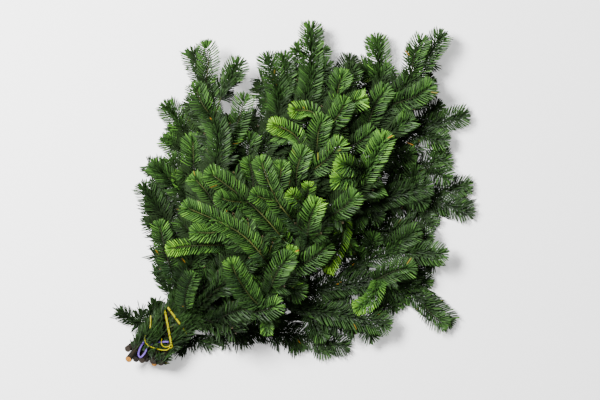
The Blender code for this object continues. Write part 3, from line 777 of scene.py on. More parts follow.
edge_shaded = needle_green.mixed(0.6 * across.size().between(0.45, 1.0), root_shaded, rgb(0.003, 0.008, 0.003))
banded = needle_green.mixed(0.36 * below * bands, edge_shaded, rgb(0.14, 0.27, 0.14))
tanned = own_shade.between(0.9970, 0.9985)
turned = needle_green.mixed(tanned * along_needle.between(0.35, 0.55), banded, rgb(0.36, 0.17, 0.01))
# Painted shade: needles deep in the bunch are mixed towards near-black by how deep they lie.
inner = needle_green.mixed(0.88 * deep, turned, rgb(0.009, 0.019, 0.005))
needle_green.feed(needle_green.shader.inputs["Base Color"], inner)
needle_green.feed(needle_green.shader.inputs["Roughness"], 0.32 + 0.16 * clouds + 0.10 * own_shade + 0.3 * deep)
groove = across.size().between(0.0, 0.30)
needle_green.bump(0.7 * groove + 0.3 * needle_green.noise(900.0), 0.00025)
print("needle nodes:", len(needle_green.nodes))

# %% [markdown]
# ## Wood of twigs and stems
#
# A young fir twig is olive and yellow brown with fine ridges, and its buds are orange brown with a
# gloss of resin. An old stem is dark brown, rough and scaly, and where it was cut the pale wood shows
# its rings. The stems carry their own lengthwise coordinates, so the scales follow the wood.

# %% Twig, bud and bark
twig_brown = Finish("twig_brown", IOR=1.25)
mottle = twig_brown.noise(160.0, 4.0)
ridges = twig_brown.noise(900.0, 3.0)
olive = twig_brown.mixed(mottle.between(0.35, 0.65), rgb(0.070, 0.074, 0.014), rgb(0.036, 0.048, 0.009))
older = twig_brown.mixed(mottle.between(0.35, 0.65), rgb(0.018, 0.023, 0.006), rgb(0.011, 0.016, 0.004))
by_age = twig_brown.mixed(twig_brown.attribute("tone").between(0.30, 0.44), older, olive)
# Painted shade: wood deep in the bunch, and near the tie, is mixed towards black.
shaded = twig_brown.mixed(0.92 * twig_brown.attribute("deep"), by_age, rgb(0.004, 0.004, 0.002))
twig_brown.feed(twig_brown.shader.inputs["Base Color"], shaded)
twig_brown.feed(twig_brown.shader.inputs["Roughness"], 0.55 + 0.3 * ridges)
twig_brown.bump(ridges, 0.0004)

bud_brown = Finish("bud_brown", Coat_Roughness=0.2)
scales = bud_brown.noise(1400.0, 1.0)
scaly = bud_brown.mixed(scales.between(0.4, 0.6), rgb(0.036, 0.026, 0.009), rgb(0.075, 0.052, 0.014))
bud_brown.feed(bud_brown.shader.inputs["Base Color"], scaly)
bud_brown.feed(bud_brown.shader.inputs["Roughness"], 0.35 + 0.2 * scales)
bud_brown.feed(bud_brown.shader.inputs["Coat Weight"], 0.15 * scales)
bud_brown.bump(scales, 0.0003)

bark = Finish("stem_bark", IOR=1.25)
grain_place = bark.attribute("grain", "Vector")
long_grain = bark.node("ShaderNodeVectorMath", {"operation": "MULTIPLY"}, {0: grain_place, 1: (1.0, 1.0, 0.25)})
flakes = bark.noise(520.0, 5.0, long_grain)
blotches = bark.noise(90.0, 2.0, grain_place)
dark = bark.mixed(flakes.between(0.38, 0.62), rgb(0.003, 0.0025, 0.0015), rgb(0.013, 0.009, 0.004))
lichen = bark.mixed(blotches.between(0.58, 0.72) * 0.5, dark, rgb(0.014, 0.017, 0.006))
bark.feed(bark.shader.inputs["Base Color"], lichen)
bark.feed(bark.shader.inputs["Roughness"], 0.72 + 0.25 * flakes)
bark.bump(flakes, 0.0012)

# %% Cut wood
cut_wood = Finish("cut_wood", IOR=1.25)
face_place = cut_wood.attribute("grain", "Vector")
flat_place = cut_wood.node("ShaderNodeVectorMath", {"operation": "MULTIPLY"}, {0: face_place, 1: (1.0, 1.0, 0.0)})
from_pith = cut_wood.node("ShaderNodeVectorMath", {"operation": "LENGTH"}, {0: flat_place}, output="Value")
grain_spots = cut_wood.noise(700.0, 3.0, face_place)
rings = (from_pith * 7800.0 + 1.5 * grain_spots).wave() * 0.5 + 0.5
pale = cut_wood.mixed(rings, rgb(0.60, 0.26, 0.02), rgb(0.38, 0.13, 0.01))
pith = cut_wood.mixed(from_pith.between(0.0004, 0.0009), rgb(0.16, 0.07, 0.02), pale)
rimmed = cut_wood.mixed(from_pith.between(0.0037, 0.0043), pith, rgb(0.08, 0.045, 0.020))
weathered = cut_wood.mixed(0.35 + 0.65 * rings, rgb(0.010, 0.007, 0.004), rgb(0.022, 0.014, 0.007))
sawn = cut_wood.mixed(cut_wood.attribute("fresh"), weathered, rimmed)
cut_wood.feed(cut_wood.shader.inputs["Base Color"], sawn)
cut_wood.feed(cut_wood.shader.inputs["Roughness"], 0.6 + 0.25 * grain_spots)
cut_wood.bump(0.5 * rings + 0.5 * grain_spots, 0.0003)
print("wood finishes:", 4)

# %% [markdown]
# ## Strap and ribbon
#
# The strap is soft yellow plastic, slightly dusty, with fine lines drawn along it. The ribbon is lilac
# satin: its threads run lengthwise and it shines across them; its colour is also lighter and darker
# along the threads and creases, as painted sheen and shade.

# %% Yellow plastic and lilac satin
strap_yellow = Finish("strap_yellow", IOR=1.2)
dust = strap_yellow.noise(420.0, 4.0)
drawn = (strap_yellow.attribute("across") * 34.0).wave() * 0.5 + 0.5
yellow = strap_yellow.mixed(dust.between(0.52, 0.78) * 0.6, rgb(0.28, 0.26, 0.0), rgb(0.15, 0.10, 0.0))
strap_yellow.feed(strap_yellow.shader.inputs["Base Color"], yellow)
strap_yellow.feed(strap_yellow.shader.inputs["Roughness"], 0.42 + 0.3 * dust)
strap_yellow.bump(0.6 * drawn + 0.4 * dust, 0.0002)

ribbon_lilac = Finish("ribbon_lilac", Sheen_Weight=0.3, Sheen_Roughness=0.4)
threads = (ribbon_lilac.attribute("across") * 60.0).wave() * 0.5 + 0.5
creases = ribbon_lilac.noise(260.0, 2.0)
# Painted sheen and shade: the lilac is lighter and darker along the threads and creases.
lilac = ribbon_lilac.mixed(0.55 * threads + 0.45 * creases, rgb(0.08, 0.025, 0.32), rgb(0.18, 0.09, 0.50))
ribbon_lilac.feed(ribbon_lilac.shader.inputs["Base Color"], lilac)
ribbon_lilac.feed(ribbon_lilac.shader.inputs["Roughness"], 0.30 + 0.25 * creases)
ribbon_lilac.bump(threads, 0.0002)
print("strap and ribbon finished")

# %% [markdown]
# ## One needle and one bud
#
# A branch has thousands of needles, so the form has few faces: a three-sided cone, cut twice and
# widened again into a flat blade with a keel below and a blunt tip. The bud is a small pointed ball.
# Both are kept as tables of corners, to be copied by arithmetic, which is much faster than copying
# objects.

# %% The needle's form


def triangles_of(shape):
    """The corners and triangles of a bmesh as two arrays."""
    bmesh.ops.triangulate(shape, faces=shape.faces)
    shape.verts.index_update()
    corners = np.array([vertex.co for vertex in shape.verts])
    faces = np.array([[vertex.index for vertex in face.verts] for face in shape.faces])
    shape.free()
    return corners, faces


def needle_form(cuts):
    """A needle: along from 0 to 1, across from -1 to 1, and lift from the keel to the flat top."""
    shape = bmesh.new()
    bmesh.ops.create_cone(shape, cap_ends=True, segments=3, radius1=1.0, radius2=0.0, depth=1.0)
    bmesh.ops.translate(shape, verts=shape.verts, vec=(0.0, 0.0, 0.5))
    for cut in cuts:
        everything = [*shape.verts, *shape.edges, *shape.faces]
        bmesh.ops.bisect_plane(shape, geom=everything, plane_co=(0.0, 0.0, cut), plane_no=(0.0, 0.0, 1.0))
    for vertex in shape.verts:
        if vertex.co.z < 0.99:
            wide = np.interp(vertex.co.z, [0.0, 0.30, 0.86], [0.66, 1.0, 0.90])
            vertex.co.x *= wide / (1.0 - vertex.co.z)
            vertex.co.y *= wide / (1.0 - vertex.co.z)
    corners, faces = triangles_of(shape)
    return np.column_stack([corners[:, 2], corners[:, 1] / 0.866, -corners[:, 0]]), faces


def bud_form():
    shape = bmesh.new()
    bmesh.ops.create_icosphere(shape, subdivisions=1, radius=1.0)
    for vertex in shape.verts:
        if vertex.co.z > 0.9:
            vertex.co.z *= 1.5
    corners, faces = triangles_of(shape)
    return np.column_stack([corners[:, 2], corners[:, 1], -corners[:, 0]]), faces


NEEDLE = needle_form((0.45, 0.86))
LOW_NEEDLE = needle_form((0.80,))
BUD = bud_form()
print("needle faces:", len(NEEDLE[1]), len(LOW_NEEDLE[1]), "bud faces:", len(BUD[1]))

# %% [markdown]
# ## Gathering a piece
#
# Each leader or lateral becomes one object: its wood, needles and buds are stacked in one list of
# corners, with the numbers that the materials read. Joining them keeps the scene light.

# %% Corners, faces and what they carry
CARRIED = ("tone", "along", "across", "shade", "below", "deep")


class Gathered:
    """The parts of one piece, in millimetres from the tie until it is finished."""

    def __init__(self):
        self.corners = []
        self.faces = []
        self.slots = []
        self.smooth = []
        self.carried = {name: [] for name in CARRIED}
        self.count = 0

    def add(self, corners, faces, slot, smooth=False, **carried):
        self.corners.append(corners)
        self.faces.append(faces + self.count)
        self.slots.append(np.full(len(faces), slot))
        self.smooth.append(np.full(len(faces), smooth))
        for name in CARRIED:
            self.carried[name].append(np.broadcast_to(carried.get(name, 0.0), len(corners)))
        self.count += len(corners)

    def add_copies(self, corners, form, slot, smooth=False, **by_copy):
        """Copies of a form: by_copy gives each copy its own number, and the form gives the rest."""
        per = len(form[0])
        copies = len(corners) // per
        faces = form[1][None, :, :] + per * np.arange(copies)[:, None, None]
        carried = {name: np.repeat(values, per) for name, values in by_copy.items()}
        carried["along"] = np.tile(form[0][:, 0], copies)
        carried["across"] = np.tile(form[0][:, 1], copies)
        carried["below"] = np.tile((form[0][:, 2] < 0.0).astype(float), copies)
        self.add(corners, faces.reshape(-1, 3), slot, smooth, **carried)

    def piece(self, name, finishes):
        mesh = bpy.data.meshes.new(name)
        places = (np.vstack(self.corners) - TIE_TO_MIDDLE) * MM
        mesh.from_pydata(places.tolist(), [], np.vstack(self.faces).tolist())
        for finish in finishes:
            mesh.materials.append(finish.material)
        mesh.polygons.foreach_set("material_index", np.concatenate(self.slots).astype(np.int32))
        mesh.polygons.foreach_set("use_smooth", np.concatenate(self.smooth))
        for key, values in self.carried.items():
            layer = mesh.attributes.new(key, "FLOAT", "POINT")
            layer.data.foreach_set("value", np.concatenate(values).astype(np.float32))
        made = bpy.data.objects.new(name, mesh)
        bpy.context.scene.collection.objects.link(made)
        return made


# %% [markdown]
# ## Twigs
#
# A curve with a round bevel makes a twig in one step: each point has its own radius, so the wood
# tapers. The twig ends short of its path's end, because the last needles reach past its bud.

# %% Directions and tapering wood
BUD_TO_TIP = 13.0
TWIG_TIP_RADIUS = 0.5
WOOD, NEEDLES, BUDS = 1, 0, 2


def directions(path):
    """The forward, left and up directions at each point of a path."""
    ahead = np.gradient(path, axis=0)
    ahead /= np.linalg.norm(ahead, axis=1)[:, None]
    left = np.cross([0.0, 0.0, 1.0], ahead)
    left /= np.linalg.norm(left, axis=1)[:, None]
    return ahead, left, np.cross(ahead, left)


def at_places(places, along, values):
    """Values along a path, read at other places on it."""
    return np.stack([np.interp(places, along, values[:, axis]) for axis in range(3)], axis=1)


def wood_of(lines, roundness=1):
    """Tapering round wood along each line of points and radii, as corners and triangles."""
    curve = bpy.data.curves.new("wood", "CURVE")
    curve.dimensions = "3D"
    curve.bevel_depth = 1.0
    curve.bevel_resolution = roundness
    curve.use_fill_caps = True
    for points, radii in lines:
        spline = curve.splines.new("POLY")
        spline.points.add(len(points) - 1)
        spline.points.foreach_set("co", np.column_stack([points, np.ones(len(points))]).ravel())
        spline.points.foreach_set("radius", radii)
    holder = bpy.data.objects.new("wood", curve)
    mesh = bpy.data.meshes.new_from_object(holder)
    mesh.calc_loop_triangles()
    corners = np.array([vertex.co for vertex in mesh.vertices])
    faces = np.array([triangle.vertices for triangle in mesh.loop_triangles])
    bpy.data.objects.remove(holder)
    bpy.data.meshes.remove(mesh)
    return corners, faces


# %% [markdown]
# ## Growing needles on a twig
#
# Fir needles are set all round the twig, but they are combed into ranks: two or three ranks spread to
# each side like a feather, curving to the tip, and the ones on top are short and lean forward over the
# twig, or turn aside and leave a parting. Towards the bud they close in. Where the bunch presses on a
# twig, they lie closer along it.

# %% Copying a form to many roots
NEEDLE_WIDTH = 1.7
NEEDLE_THICKNESS = 0.6
FLOOR_CLEAR = 0.35


def above_floor(corners):
    """Lifts what is below the floor to just above it, keeping a little of its thickness."""
    soft = 1.5
    low = corners[:, 2] < soft
    corners[low, 2] = soft - (soft - FLOOR_CLEAR) * (1.0 - np.exp((corners[low, 2] - soft) / 1.2))
    return corners


def stamp(form, roots, ahead, flat_side, lengths, widths, thickness, bend):
    """Copies a form to each root: turned, sized and bent. Gives corners by copy, and the triangles."""
    corners, faces = form
    side = np.cross(flat_side, ahead)
    along, across, lift = corners[:, 0], corners[:, 1], corners[:, 2]
    spine = along[None, :, None] * ahead[:, None, :] + (along**2)[None, :, None] * bend[:, None, :]
    places = roots[:, None, :] + lengths[:, None, None] * spine
    places = places + (widths[:, None] * across[None, :])[:, :, None] * side[:, None, :]
    return places + (thickness * lift)[None, :, None] * flat_side[:, None, :], faces


def upright(flat_side, ahead):
    """The direction nearest to flat_side that is square to ahead."""
    flat_side = flat_side - np.sum(flat_side * ahead, axis=1)[:, None] * ahead
    return flat_side / np.linalg.norm(flat_side, axis=1)[:, None]


# %% Needles in combed ranks
# Each rank: degrees from straight up, degrees from the twig, share of the full length, share grown,
# tone added, and how many degrees its needles vary. The tone added is painted light and shade: the
# lowest side rank and the short ranks pressed over the twig are darker, the upper side rank lighter.
SIDE_RANKS = ((90.0, 78.0, 0.98, 1.0, -0.12, 2.0), (66.0, 78.0, 1.0, 1.0, 0.06, 2.0))
COVERED = (
    *SIDE_RANKS, (50.0, 66.0, 0.64, 0.9, -0.08, 8.0), (32.0, 58.0, 0.56, 1.0, -0.13, 12.0),
    (12.0, 48.0, 0.48, 1.0, -0.16, 16.0),
)
PARTED = (*SIDE_RANKS, (42.0, 74.0, 0.50, 0.9, 0.0, 5.0))
LOW_RANKS = ((96.0, 66.0, 1.0, 1.0, -0.03, 4.0), (64.0, 58.0, 0.9, 0.9, 0.0, 4.0))
STEM_RANKS = (
    (100.0, 60.0, 1.0, 1.0, -0.05, 14.0), (68.0, 56.0, 1.0, 1.0, 0.0, 16.0),
    (36.0, 50.0, 0.9, 1.0, 0.0, 18.0), (8.0, 46.0, 0.8, 0.8, 0.0, 20.0),
)
# The needles round the bud, each both left and right: degrees from straight up, and from the twig
CROWN = (
    (88.0, 6.0), (88.0, 20.0), (88.0, 34.0), (88.0, 48.0), (88.0, 62.0), (62.0, 12.0), (62.0, 28.0),
    (62.0, 44.0), (62.0, 60.0), (28.0, 18.0), (28.0, 38.0), (28.0, 58.0),
)
CROWN_LENGTH = 0.70
# The last stretch before the bud, in mm, where the needles stand closer, and how much closer at its end
DENSE_STRETCH, DENSE_STEP = 40.0, 0.68
UNKEMPT_FROM = 20.0
UNKEMPT_TO = 105.0


def unkempt_at(from_tie):
    """How messy the needles are: 1 at the tie, where they were rubbed and bent, and 0 well away from it."""
    return np.interp(from_tie, [UNKEMPT_FROM, UNKEMPT_TO], [1.0, 0.0])


def rib_plan(look, wood, random):
    """For each needle of the ribs: its place along the twig, side, and rank."""
    ranks = np.array(look.ranks)
    ribs = int((wood - look.start) / look.rib_step)
    rib, row, side = np.meshgrid(np.arange(ribs), np.arange(len(ranks)), (-1.0, 1.0), indexing="ij")
    kept = random.uniform(0.0, 1.0, rib.shape) < ranks[row, 3]
    rib, row, side = rib[kept], row[kept], side[kept]
    place = look.start + look.rib_step * (rib + 0.25 * side) + random.normal(0.0, 0.14, len(rib))
    to_bud = wood - place
    closer = to_bud * np.minimum(DENSE_STEP + (1.0 - DENSE_STEP) * to_bud / DENSE_STRETCH, 1.0)
    return np.clip(wood - closer, 0.0, wood), side, ranks[row]


def grow_needles(gathered, path, radii, press, random, look, spared=None):
    """Needles along the wood of one twig, rib after rib. press is 1 where they are free, less where not."""
    along = lengths_along(path)
    wood = along[-1] - look.past_bud
    if wood < look.start + 2.0 * look.rib_step:
        return
    place, side, rank = rib_plan(look, wood, random)
    free = np.clip((wood - place) / 12.0, 0.0, 1.0)
    lean = rank[:, 1] * (0.60 + 0.40 * free**0.6)
    length = rank[:, 2] * (0.92 + 0.08 * free)
    if look.crown:
        crown = np.array([(out, aside, end) for out, aside in CROWN for end in (-1.0, 1.0)])
        place = np.append(place, wood - random.uniform(0.0, 1.5, len(crown)))
        side = np.append(side, crown[:, 2])
        extra = np.full(len(crown), CROWN_LENGTH)
        rank = np.vstack([rank, np.column_stack([crown[:, 0], crown[:, 1], extra, extra, 0.0 * extra, 9.0 * extra])])
        lean, length = np.append(lean, crown[:, 1]), np.append(length, extra)
    count = len(place)
    ahead, left, up = (at_places(place, along, values) for values in directions(path))
    unkempt = (0.0 if look.neat else 1.0) * unkempt_at(at_places(place, along, path)[:, 0])
    vary = rank[:, 5] + 14.0 * unkempt
    out = np.radians(rank[:, 0] + vary * random.normal(0.0, 1.0, count))
    lean = lean + 0.8 * vary * random.normal(0.0, 1.0, count)
    length = look.length * length * random.normal(1.0, 0.045 + 0.1 * unkempt, count)
    length = length * (1.0 + 0.7 * unkempt * (rank[:, 0] < 45.0))
    length = length * np.interp(place, [0.0, 12.0], [0.72, 1.0])
    held = np.maximum(np.interp(place + 0.4 * length, along, press), 0.8 if look.neat else 0.6 * unkempt)
    lean = np.minimum(np.radians(lean), np.arcsin(np.clip(1.1 * held * look.reach / length, 0.15, 1.0)))
    sideways = (np.sin(out) * side)[:, None] * left + np.cos(out)[:, None] * up
    forward = np.cos(lean)[:, None] * ahead + np.sin(lean)[:, None] * sideways
    tilt = (0.12 * side + random.normal(0.0, 0.24, count))[:, None]
    flat_side = upright(up + tilt * left + 0.15 * sideways, forward)
    roots = at_places(place, along, path) + 0.8 * np.interp(place, along, radii)[:, None] * sideways
    bend = (look.curve * np.sin(lean))[:, None] * ahead + random.normal(0.0, 0.03, (count, 1)) * up
    widths = 0.5 * look.width * random.uniform(0.88, 1.10, count)
    corners, faces = stamp(look.form, roots, forward, flat_side, length, widths, 0.5 * NEEDLE_THICKNESS, bend)
    # The rank's tone added paints shade on lower and covered ranks, and light on the upper side rank.
    tones = look.tone + rank[:, 4] + look.tip_tone * (place / wood) ** 3 + random.normal(0.0, 0.055, count)
    # Painted shade: near the tie the needles are made darker.
    tones = tones * (1.0 - 0.4 * unkempt)
    shades = random.uniform(0.0, 1.0, count)
    if spared is not None:
        kept = spared(corners)
        corners, tones, shades = corners[kept], tones[kept], shades[kept]
    if len(corners):
        deep = deep_at(corners.mean(axis=1))
        gathered.add_copies(above_floor(corners.reshape(-1, 3)), look.form, NEEDLES,
                            tone=tones, shade=shades, deep=deep)


def grow_buds(gathered, path, past_bud, random):
    """A bud at the end of a twig and one on each side of it."""
    along = lengths_along(path)
    place = np.array([along[-1] - past_bud] * 3) - np.array([0.0, 1.2, 1.2])
    ahead, left, up = (at_places(place, along, values) for values in directions(path))
    aside = np.array([0.0, 0.55, -0.55])[:, None]
    forward = ahead + aside * left
    forward /= np.linalg.norm(forward, axis=1)[:, None]
    roots = at_places(place, along, path) + 1.3 * aside * left + 0.6 * forward
    size = random.uniform(0.9, 1.1, 3) * np.array([1.0, 0.75, 0.75])
    corners, faces = stamp(BUD, roots, forward, upright(up, forward), 1.1 * size, 0.7 * size, 0.7,
                           np.zeros((3, 3)))
    gathered.add_copies(above_floor(corners.reshape(-1, 3)), BUD, BUDS, smooth=True)


# %% [markdown]
# ## The look of each shoot
#
# The shoots on top are light green with lime tips, those at the rim are mid green, and the tangle
# along the lower edge is nearly black. Part of this is painted light and shade: shoots lying on top are
# made lighter, a leader's own twig is darker, partly for its old needles and partly as painted shade,
# and the short twigs low in the bunch are darker as painted shade. A shoot on top shows its parting.
# One table holds the tones, so they can be matched to a photograph shoot by shoot.

# %% Tones and needle habits


@dataclass
class Look:
    """How the needles of a twig grow, in mm. curve is how far they bend to the tip."""

    tone: float = 0.40
    tip_tone: float = 0.10
    reach: float = NEEDLE_REACH
    length: float = 22.0
    rib_step: float = 3.1
    ranks: tuple = COVERED
    form: tuple = NEEDLE
    width: float = NEEDLE_WIDTH
    curve: float = 0.32
    start: float = 3.0
    past_bud: float = BUD_TO_TIP
    crown: bool = True
    neat: bool = False


# Each solid's tone, from 0 for the oldest green to 1 for lime, and how much its tips add to it
TONES = {
    "left_back_leader": (0.38, 0.10), "left_back_edge": (0.36, 0.10), "left_back_inner": (0.38, 0.10),
    "left_back_butt_spray": (0.22, 0.06),
    "upper_right_leader": (0.32, 0.12), "upper_right_left": (0.32, 0.12), "upper_right_right": (0.30, 0.10),
    "lower_middle_leader": (0.26, 0.12), "lower_middle_right": (0.26, 0.12), "lower_middle_left": (0.28, 0.12),
    "bottom_edge_leader": (0.30, 0.06), "bottom_edge_outer": (0.28, 0.06), "bottom_edge_inner": (0.30, 0.06),
    "left_edge_leader": (0.27, 0.12), "left_edge_low": (0.27, 0.12), "left_edge_inner": (0.29, 0.12),
    "upper_middle_leader": (0.32, 0.12), "upper_middle_right": (0.32, 0.12), "upper_middle_left": (0.34, 0.12),
    "lower_right_leader": (0.26, 0.14), "lower_right_left": (0.34, 0.16), "lower_right_right": (0.22, 0.10),
    "bottom_leader": (0.26, 0.16), "bottom_far": (0.27, 0.14), "bottom_near": (0.26, 0.08),
    "upper_left_leader": (0.36, 0.10), "upper_left_right": (0.34, 0.10), "upper_left_left": (0.40, 0.12),
    "upper_left_low": (0.40, 0.12),
    "centre_leader": (0.30, 0.14), "centre_left": (0.36, 0.14), "centre_right": (0.32, 0.14),
    "centre_near_tie": (0.34, 0.10), "centre_lime_left": (0.50, 0.34),
    "top_right_leader": (0.38, 0.14), "top_right_lime_left": (0.52, 0.34), "top_right_lime_right": (0.50, 0.34),
    "top_right_low": (0.44, 0.24),
    "top_left_leader": (0.32, 0.12), "top_left_first": (0.41, 0.14), "top_left_second": (0.44, 0.12),
    "top_left_third": (0.42, 0.12), "top_left_fourth": (0.41, 0.15), "top_left_fifth": (0.52, 0.34),
    "top_left_back_turned": (0.50, 0.32),
}
# The solids on top, whose needles leave a parting above the twig
ON_TOP = ("top_left_f", "top_left_second", "top_left_third", "top_left_back", "top_right_l", "centre_lime",
          "upper_left_l", "top_right_lo", "centre_near")


def look_of(node, twig, reach, old=False):
    """The habit of one twig's needles."""
    tone_there, tip_tone = TONES[node]
    look = Look(tone=tone_there, tip_tone=tip_tone, reach=reach, length=1.06 * reach)
    # A leader's own twig is darker, partly for its old needles and partly as painted shade; a shoot lying on top is
    # lighter, as painted light.
    if old:
        look.tone = max(0.06, tone_there - 0.10)
    elif twig.on_top:
        look.tone = tone_there + 0.04
        look.ranks, look.width = PARTED, 1.5
    elif node.startswith(ON_TOP):
        look.ranks, look.width, look.neat = PARTED, 1.5, True
    return look


def short_look(look):
    """The same for a short twig low in the bunch: shorter needles, and fewer, darker as painted shade."""
    return Look(tone=max(0.10, 0.80 * look.tone - 0.04), tip_tone=0.4 * look.tip_tone, reach=0.85 * look.reach,
                length=0.85 * look.length, rib_step=3.0, ranks=LOW_RANKS, form=LOW_NEEDLE, width=2.1,
                curve=look.curve, start=2.5, past_bud=8.0, crown=False)
print("tones given:", len(TONES))

# %% [markdown]
# ## The course of the strap and ribbon
#
# The strap goes twice round the stems, once on a slant, and ends in a knot with two tails. Its course is
# worked out before the needles are grown, because no needle may lie across the strap or the ribbon: the
# tie was pulled tight over the stems, and the needles beside it stick out.

# %% Measures of the strap and ribbon
STRAP_WIDTH = 4.0
STRAP_THICKNESS = 0.9
STRAP_CLEARANCE = 0.4
KNOT = (-25.0, -14.0, 36.0)
KNOT_SIZE = (8.0, 6.4, 4.6)
LONG_TAIL = ((-26, -14, 36.2), (-33, -13, 37.2), (-40, -4, 37.6), (-46, 10, 37.8), (-42, 20, 37.8),
             (-32, 22, 37.2), (-25, 26, 36.0), (-15, 36, 32.0))
SHORT_TAIL = ((-25, -13, 36.2), (-31, -9, 36.4), (-32, -3, 36.4), (-26, 3, 36.2))
RIBBON_WIDTH = 3.0
RIBBON_THICKNESS = 0.8
RIBBON_PATH = ((-36, 16.5, 35.6), (-48, 16.6, 36.0), (-58, 14.0, 36.0), (-65, 9.5, 35.8), (-65, 5.0, 35.6),
               (-58, 5.0, 35.6), (-46, 8.0, 35.6), (-36, 4.5, 35.4), (-28, -2, 35.4), (-23, -7, 35.4))


def strap_round():
    """The middle line of the strap's two turns, with the outward direction at each point."""
    lift = BUTT_RADIUS + STRAP_CLEARANCE + 0.5 * STRAP_THICKNESS
    under = STRAP_THICKNESS + 0.25
    left, right, low, high = COLUMNS[0], COLUMNS[-1], ROW_HEIGHTS[0], ROW_HEIGHTS[-1]
    # Each stop: corner y, corner z, turn from up in degrees, place along the bunch, drop below
    stops = (
        (right, high, 0, -22.0, 0.0), (left, high, 0, 0.5, 0.0), (left, high, 45, 2.6, 0.0),
        (left, high, 90, 3.5, 0.0), (left, low, 90, 3.0, 0.0), (left, low, 135, 3.0, 0.0),
        (left, low, 180, 3.0, 0.0), (right, low, 180, 3.5, 0.0), (right, low, 225, 3.0, 0.0),
        (right, low, 270, 3.0, 0.0), (right, high, 270, 3.0, 0.0), (right, high, 315, 3.0, 0.0),
        (right, high, 360, 4.0, 0.0), (left, high, 360, 9.2, 0.0), (left, high, 405, 9.6, 0.0),
        (left, high, 450, 9.8, 0.0), (left, low, 450, 9.8, under), (left, low, 495, 9.4, under),
        (left, low, 540, 8.0, under), (right, low, 540, -16.0, under), (right, low, 585, -19.0, under),
        (right, low, 630, -20.0, 0.0), (right, high, 630, -23.0, 0.0), (right, high, 675, -24.5, 0.0),
        (right, high, 700, -25.5, 0.0),
    )
    points, outward = [], []
    for y, z, degrees, x, drop in stops:
        turn = math.radians(degrees)
        out = Vector((0.0, math.sin(turn), math.cos(turn)))
        points.append(Vector((x, y, z)) + out * lift - Vector((0.0, 0.0, drop)))
        outward.append(out)
    return points, outward


# %% Places that needles keep off
TIE_REGION = (-75.0, 45.0)
OFF_THE_TIE = 1.4


def tie_course():
    """Points a millimetre apart on the strap and the ribbon where they are seen from above."""
    over = [np.array(point) for point, out in zip(*strap_round()) if out[2] > 0.3]
    ribbon = smooth_path(RIBBON_PATH, 1.0)
    tail = smooth_path(LONG_TAIL, 1.0)
    second = smooth_path(over[3:7], 1.0)
    seen = [ribbon[(ribbon[:, 0] < -53.0) | (np.abs(ribbon[:, 0] + 25.0) < 2.0)], tail[1:20], tail[-14:]]
    return np.vstack([*seen, second[-26:], smooth_path(over[:3], 1.0), smooth_path(SHORT_TAIL, 1.0)])


TIE_COURSE = tie_course()
# The stem under each half of the ribbon's loop, where needles hide it
COVERS_RIBBON = {"upper_left_stem": 1.0, "centre_stem": -1.0}
HIDDEN_RIBBON = (-52.0, -28.0)


def over_ribbon(node):
    """Lines along the bark on both sides of the hidden ribbon, whose needles lean over it."""
    if node not in COVERS_RIBBON:
        return []
    course = smooth_path(RIBBON_PATH, PATH_STEP)
    turning = int(np.argmin(course[:, 0]))
    half = course[turning::-1] if COVERS_RIBBON[node] > 0.0 else course[turning:]
    hidden = half[(half[:, 0] > HIDDEN_RIBBON[0]) & (half[:, 0] < HIDDEN_RIBBON[1])]
    _, left, _ = directions(hidden)
    beyond = (hidden[-1] - hidden[-2]) * (BUD_TO_TIP / PATH_STEP)
    return [np.vstack([line, line[-1] + beyond]) for line in
            (hidden + aside * left - [0.0, 0.0, 1.6] for aside in (-2.4, 2.4))]


def off_the_tie(copies):
    """Which copies of a form leave the strap and the ribbon in view."""
    kept = np.ones(len(copies), bool)
    first = copies[:, 0, 0]
    for index in np.nonzero((first > TIE_REGION[0]) & (first < TIE_REGION[1]))[0]:
        middle = 0.5 * (copies[index][:-1] + copies[index][1:])
        corners = np.vstack([copies[index], middle])
        apart = np.linalg.norm(corners[:, None, :2] - TIE_COURSE[None, :, :2], axis=2)
        above = corners[:, None, 2] > TIE_COURSE[None, :, 2] - 1.0
        kept[index] = not np.any((apart < 0.5 * STRAP_WIDTH + OFF_THE_TIE - 1.0) & above)
    return kept


print("points on the tie:", len(TIE_COURSE))

# %% [markdown]
# ## Dressing the leaders and laterals
#
# Each solid of needles is now replaced by the real thing: wood from the joint to the bud, needles, and
# buds. A lateral's wood is carried back to its leader, so nothing hangs free.

# %% Wood and needles of one solid
TWIGLETS_FROM = 20.0
TWIGLETS_END = 52.0
TWIGLET_STEP = 10.0


def joint_of(node):
    """The place on the leader or stem that a lateral leaves, or nothing for a leader."""
    for branch in BRANCHES:
        leader, stem = leafy[branch.name + "_leader"][0].path, stems[branch.name + "_stem"]
        for spray in branch.sprays:
            if branch.name + "_" + spray.name == node:
                parent = stem if spray.fork[0] < leader[0, 0] else leader
                return parent[nearest(parent, spray.fork)]
    return None


def wood_line(path, start_radius, joint, past_bud=BUD_TO_TIP):
    """The points and radii of a twig's wood, from its joint to its bud."""
    along = lengths_along(path)
    kept = along < along[-1] - past_bud + 0.1
    share = along[kept] / along[-1]
    taper = (1.0 - share) ** (1.2 if start_radius < 2.0 else 3.0)
    points, radii = path[kept], TWIG_TIP_RADIUS + (start_radius - TWIG_TIP_RADIUS) * taper
    if joint is not None:
        points, radii = np.vstack([joint, points]), np.append(radii[0], radii)
    return points, radii


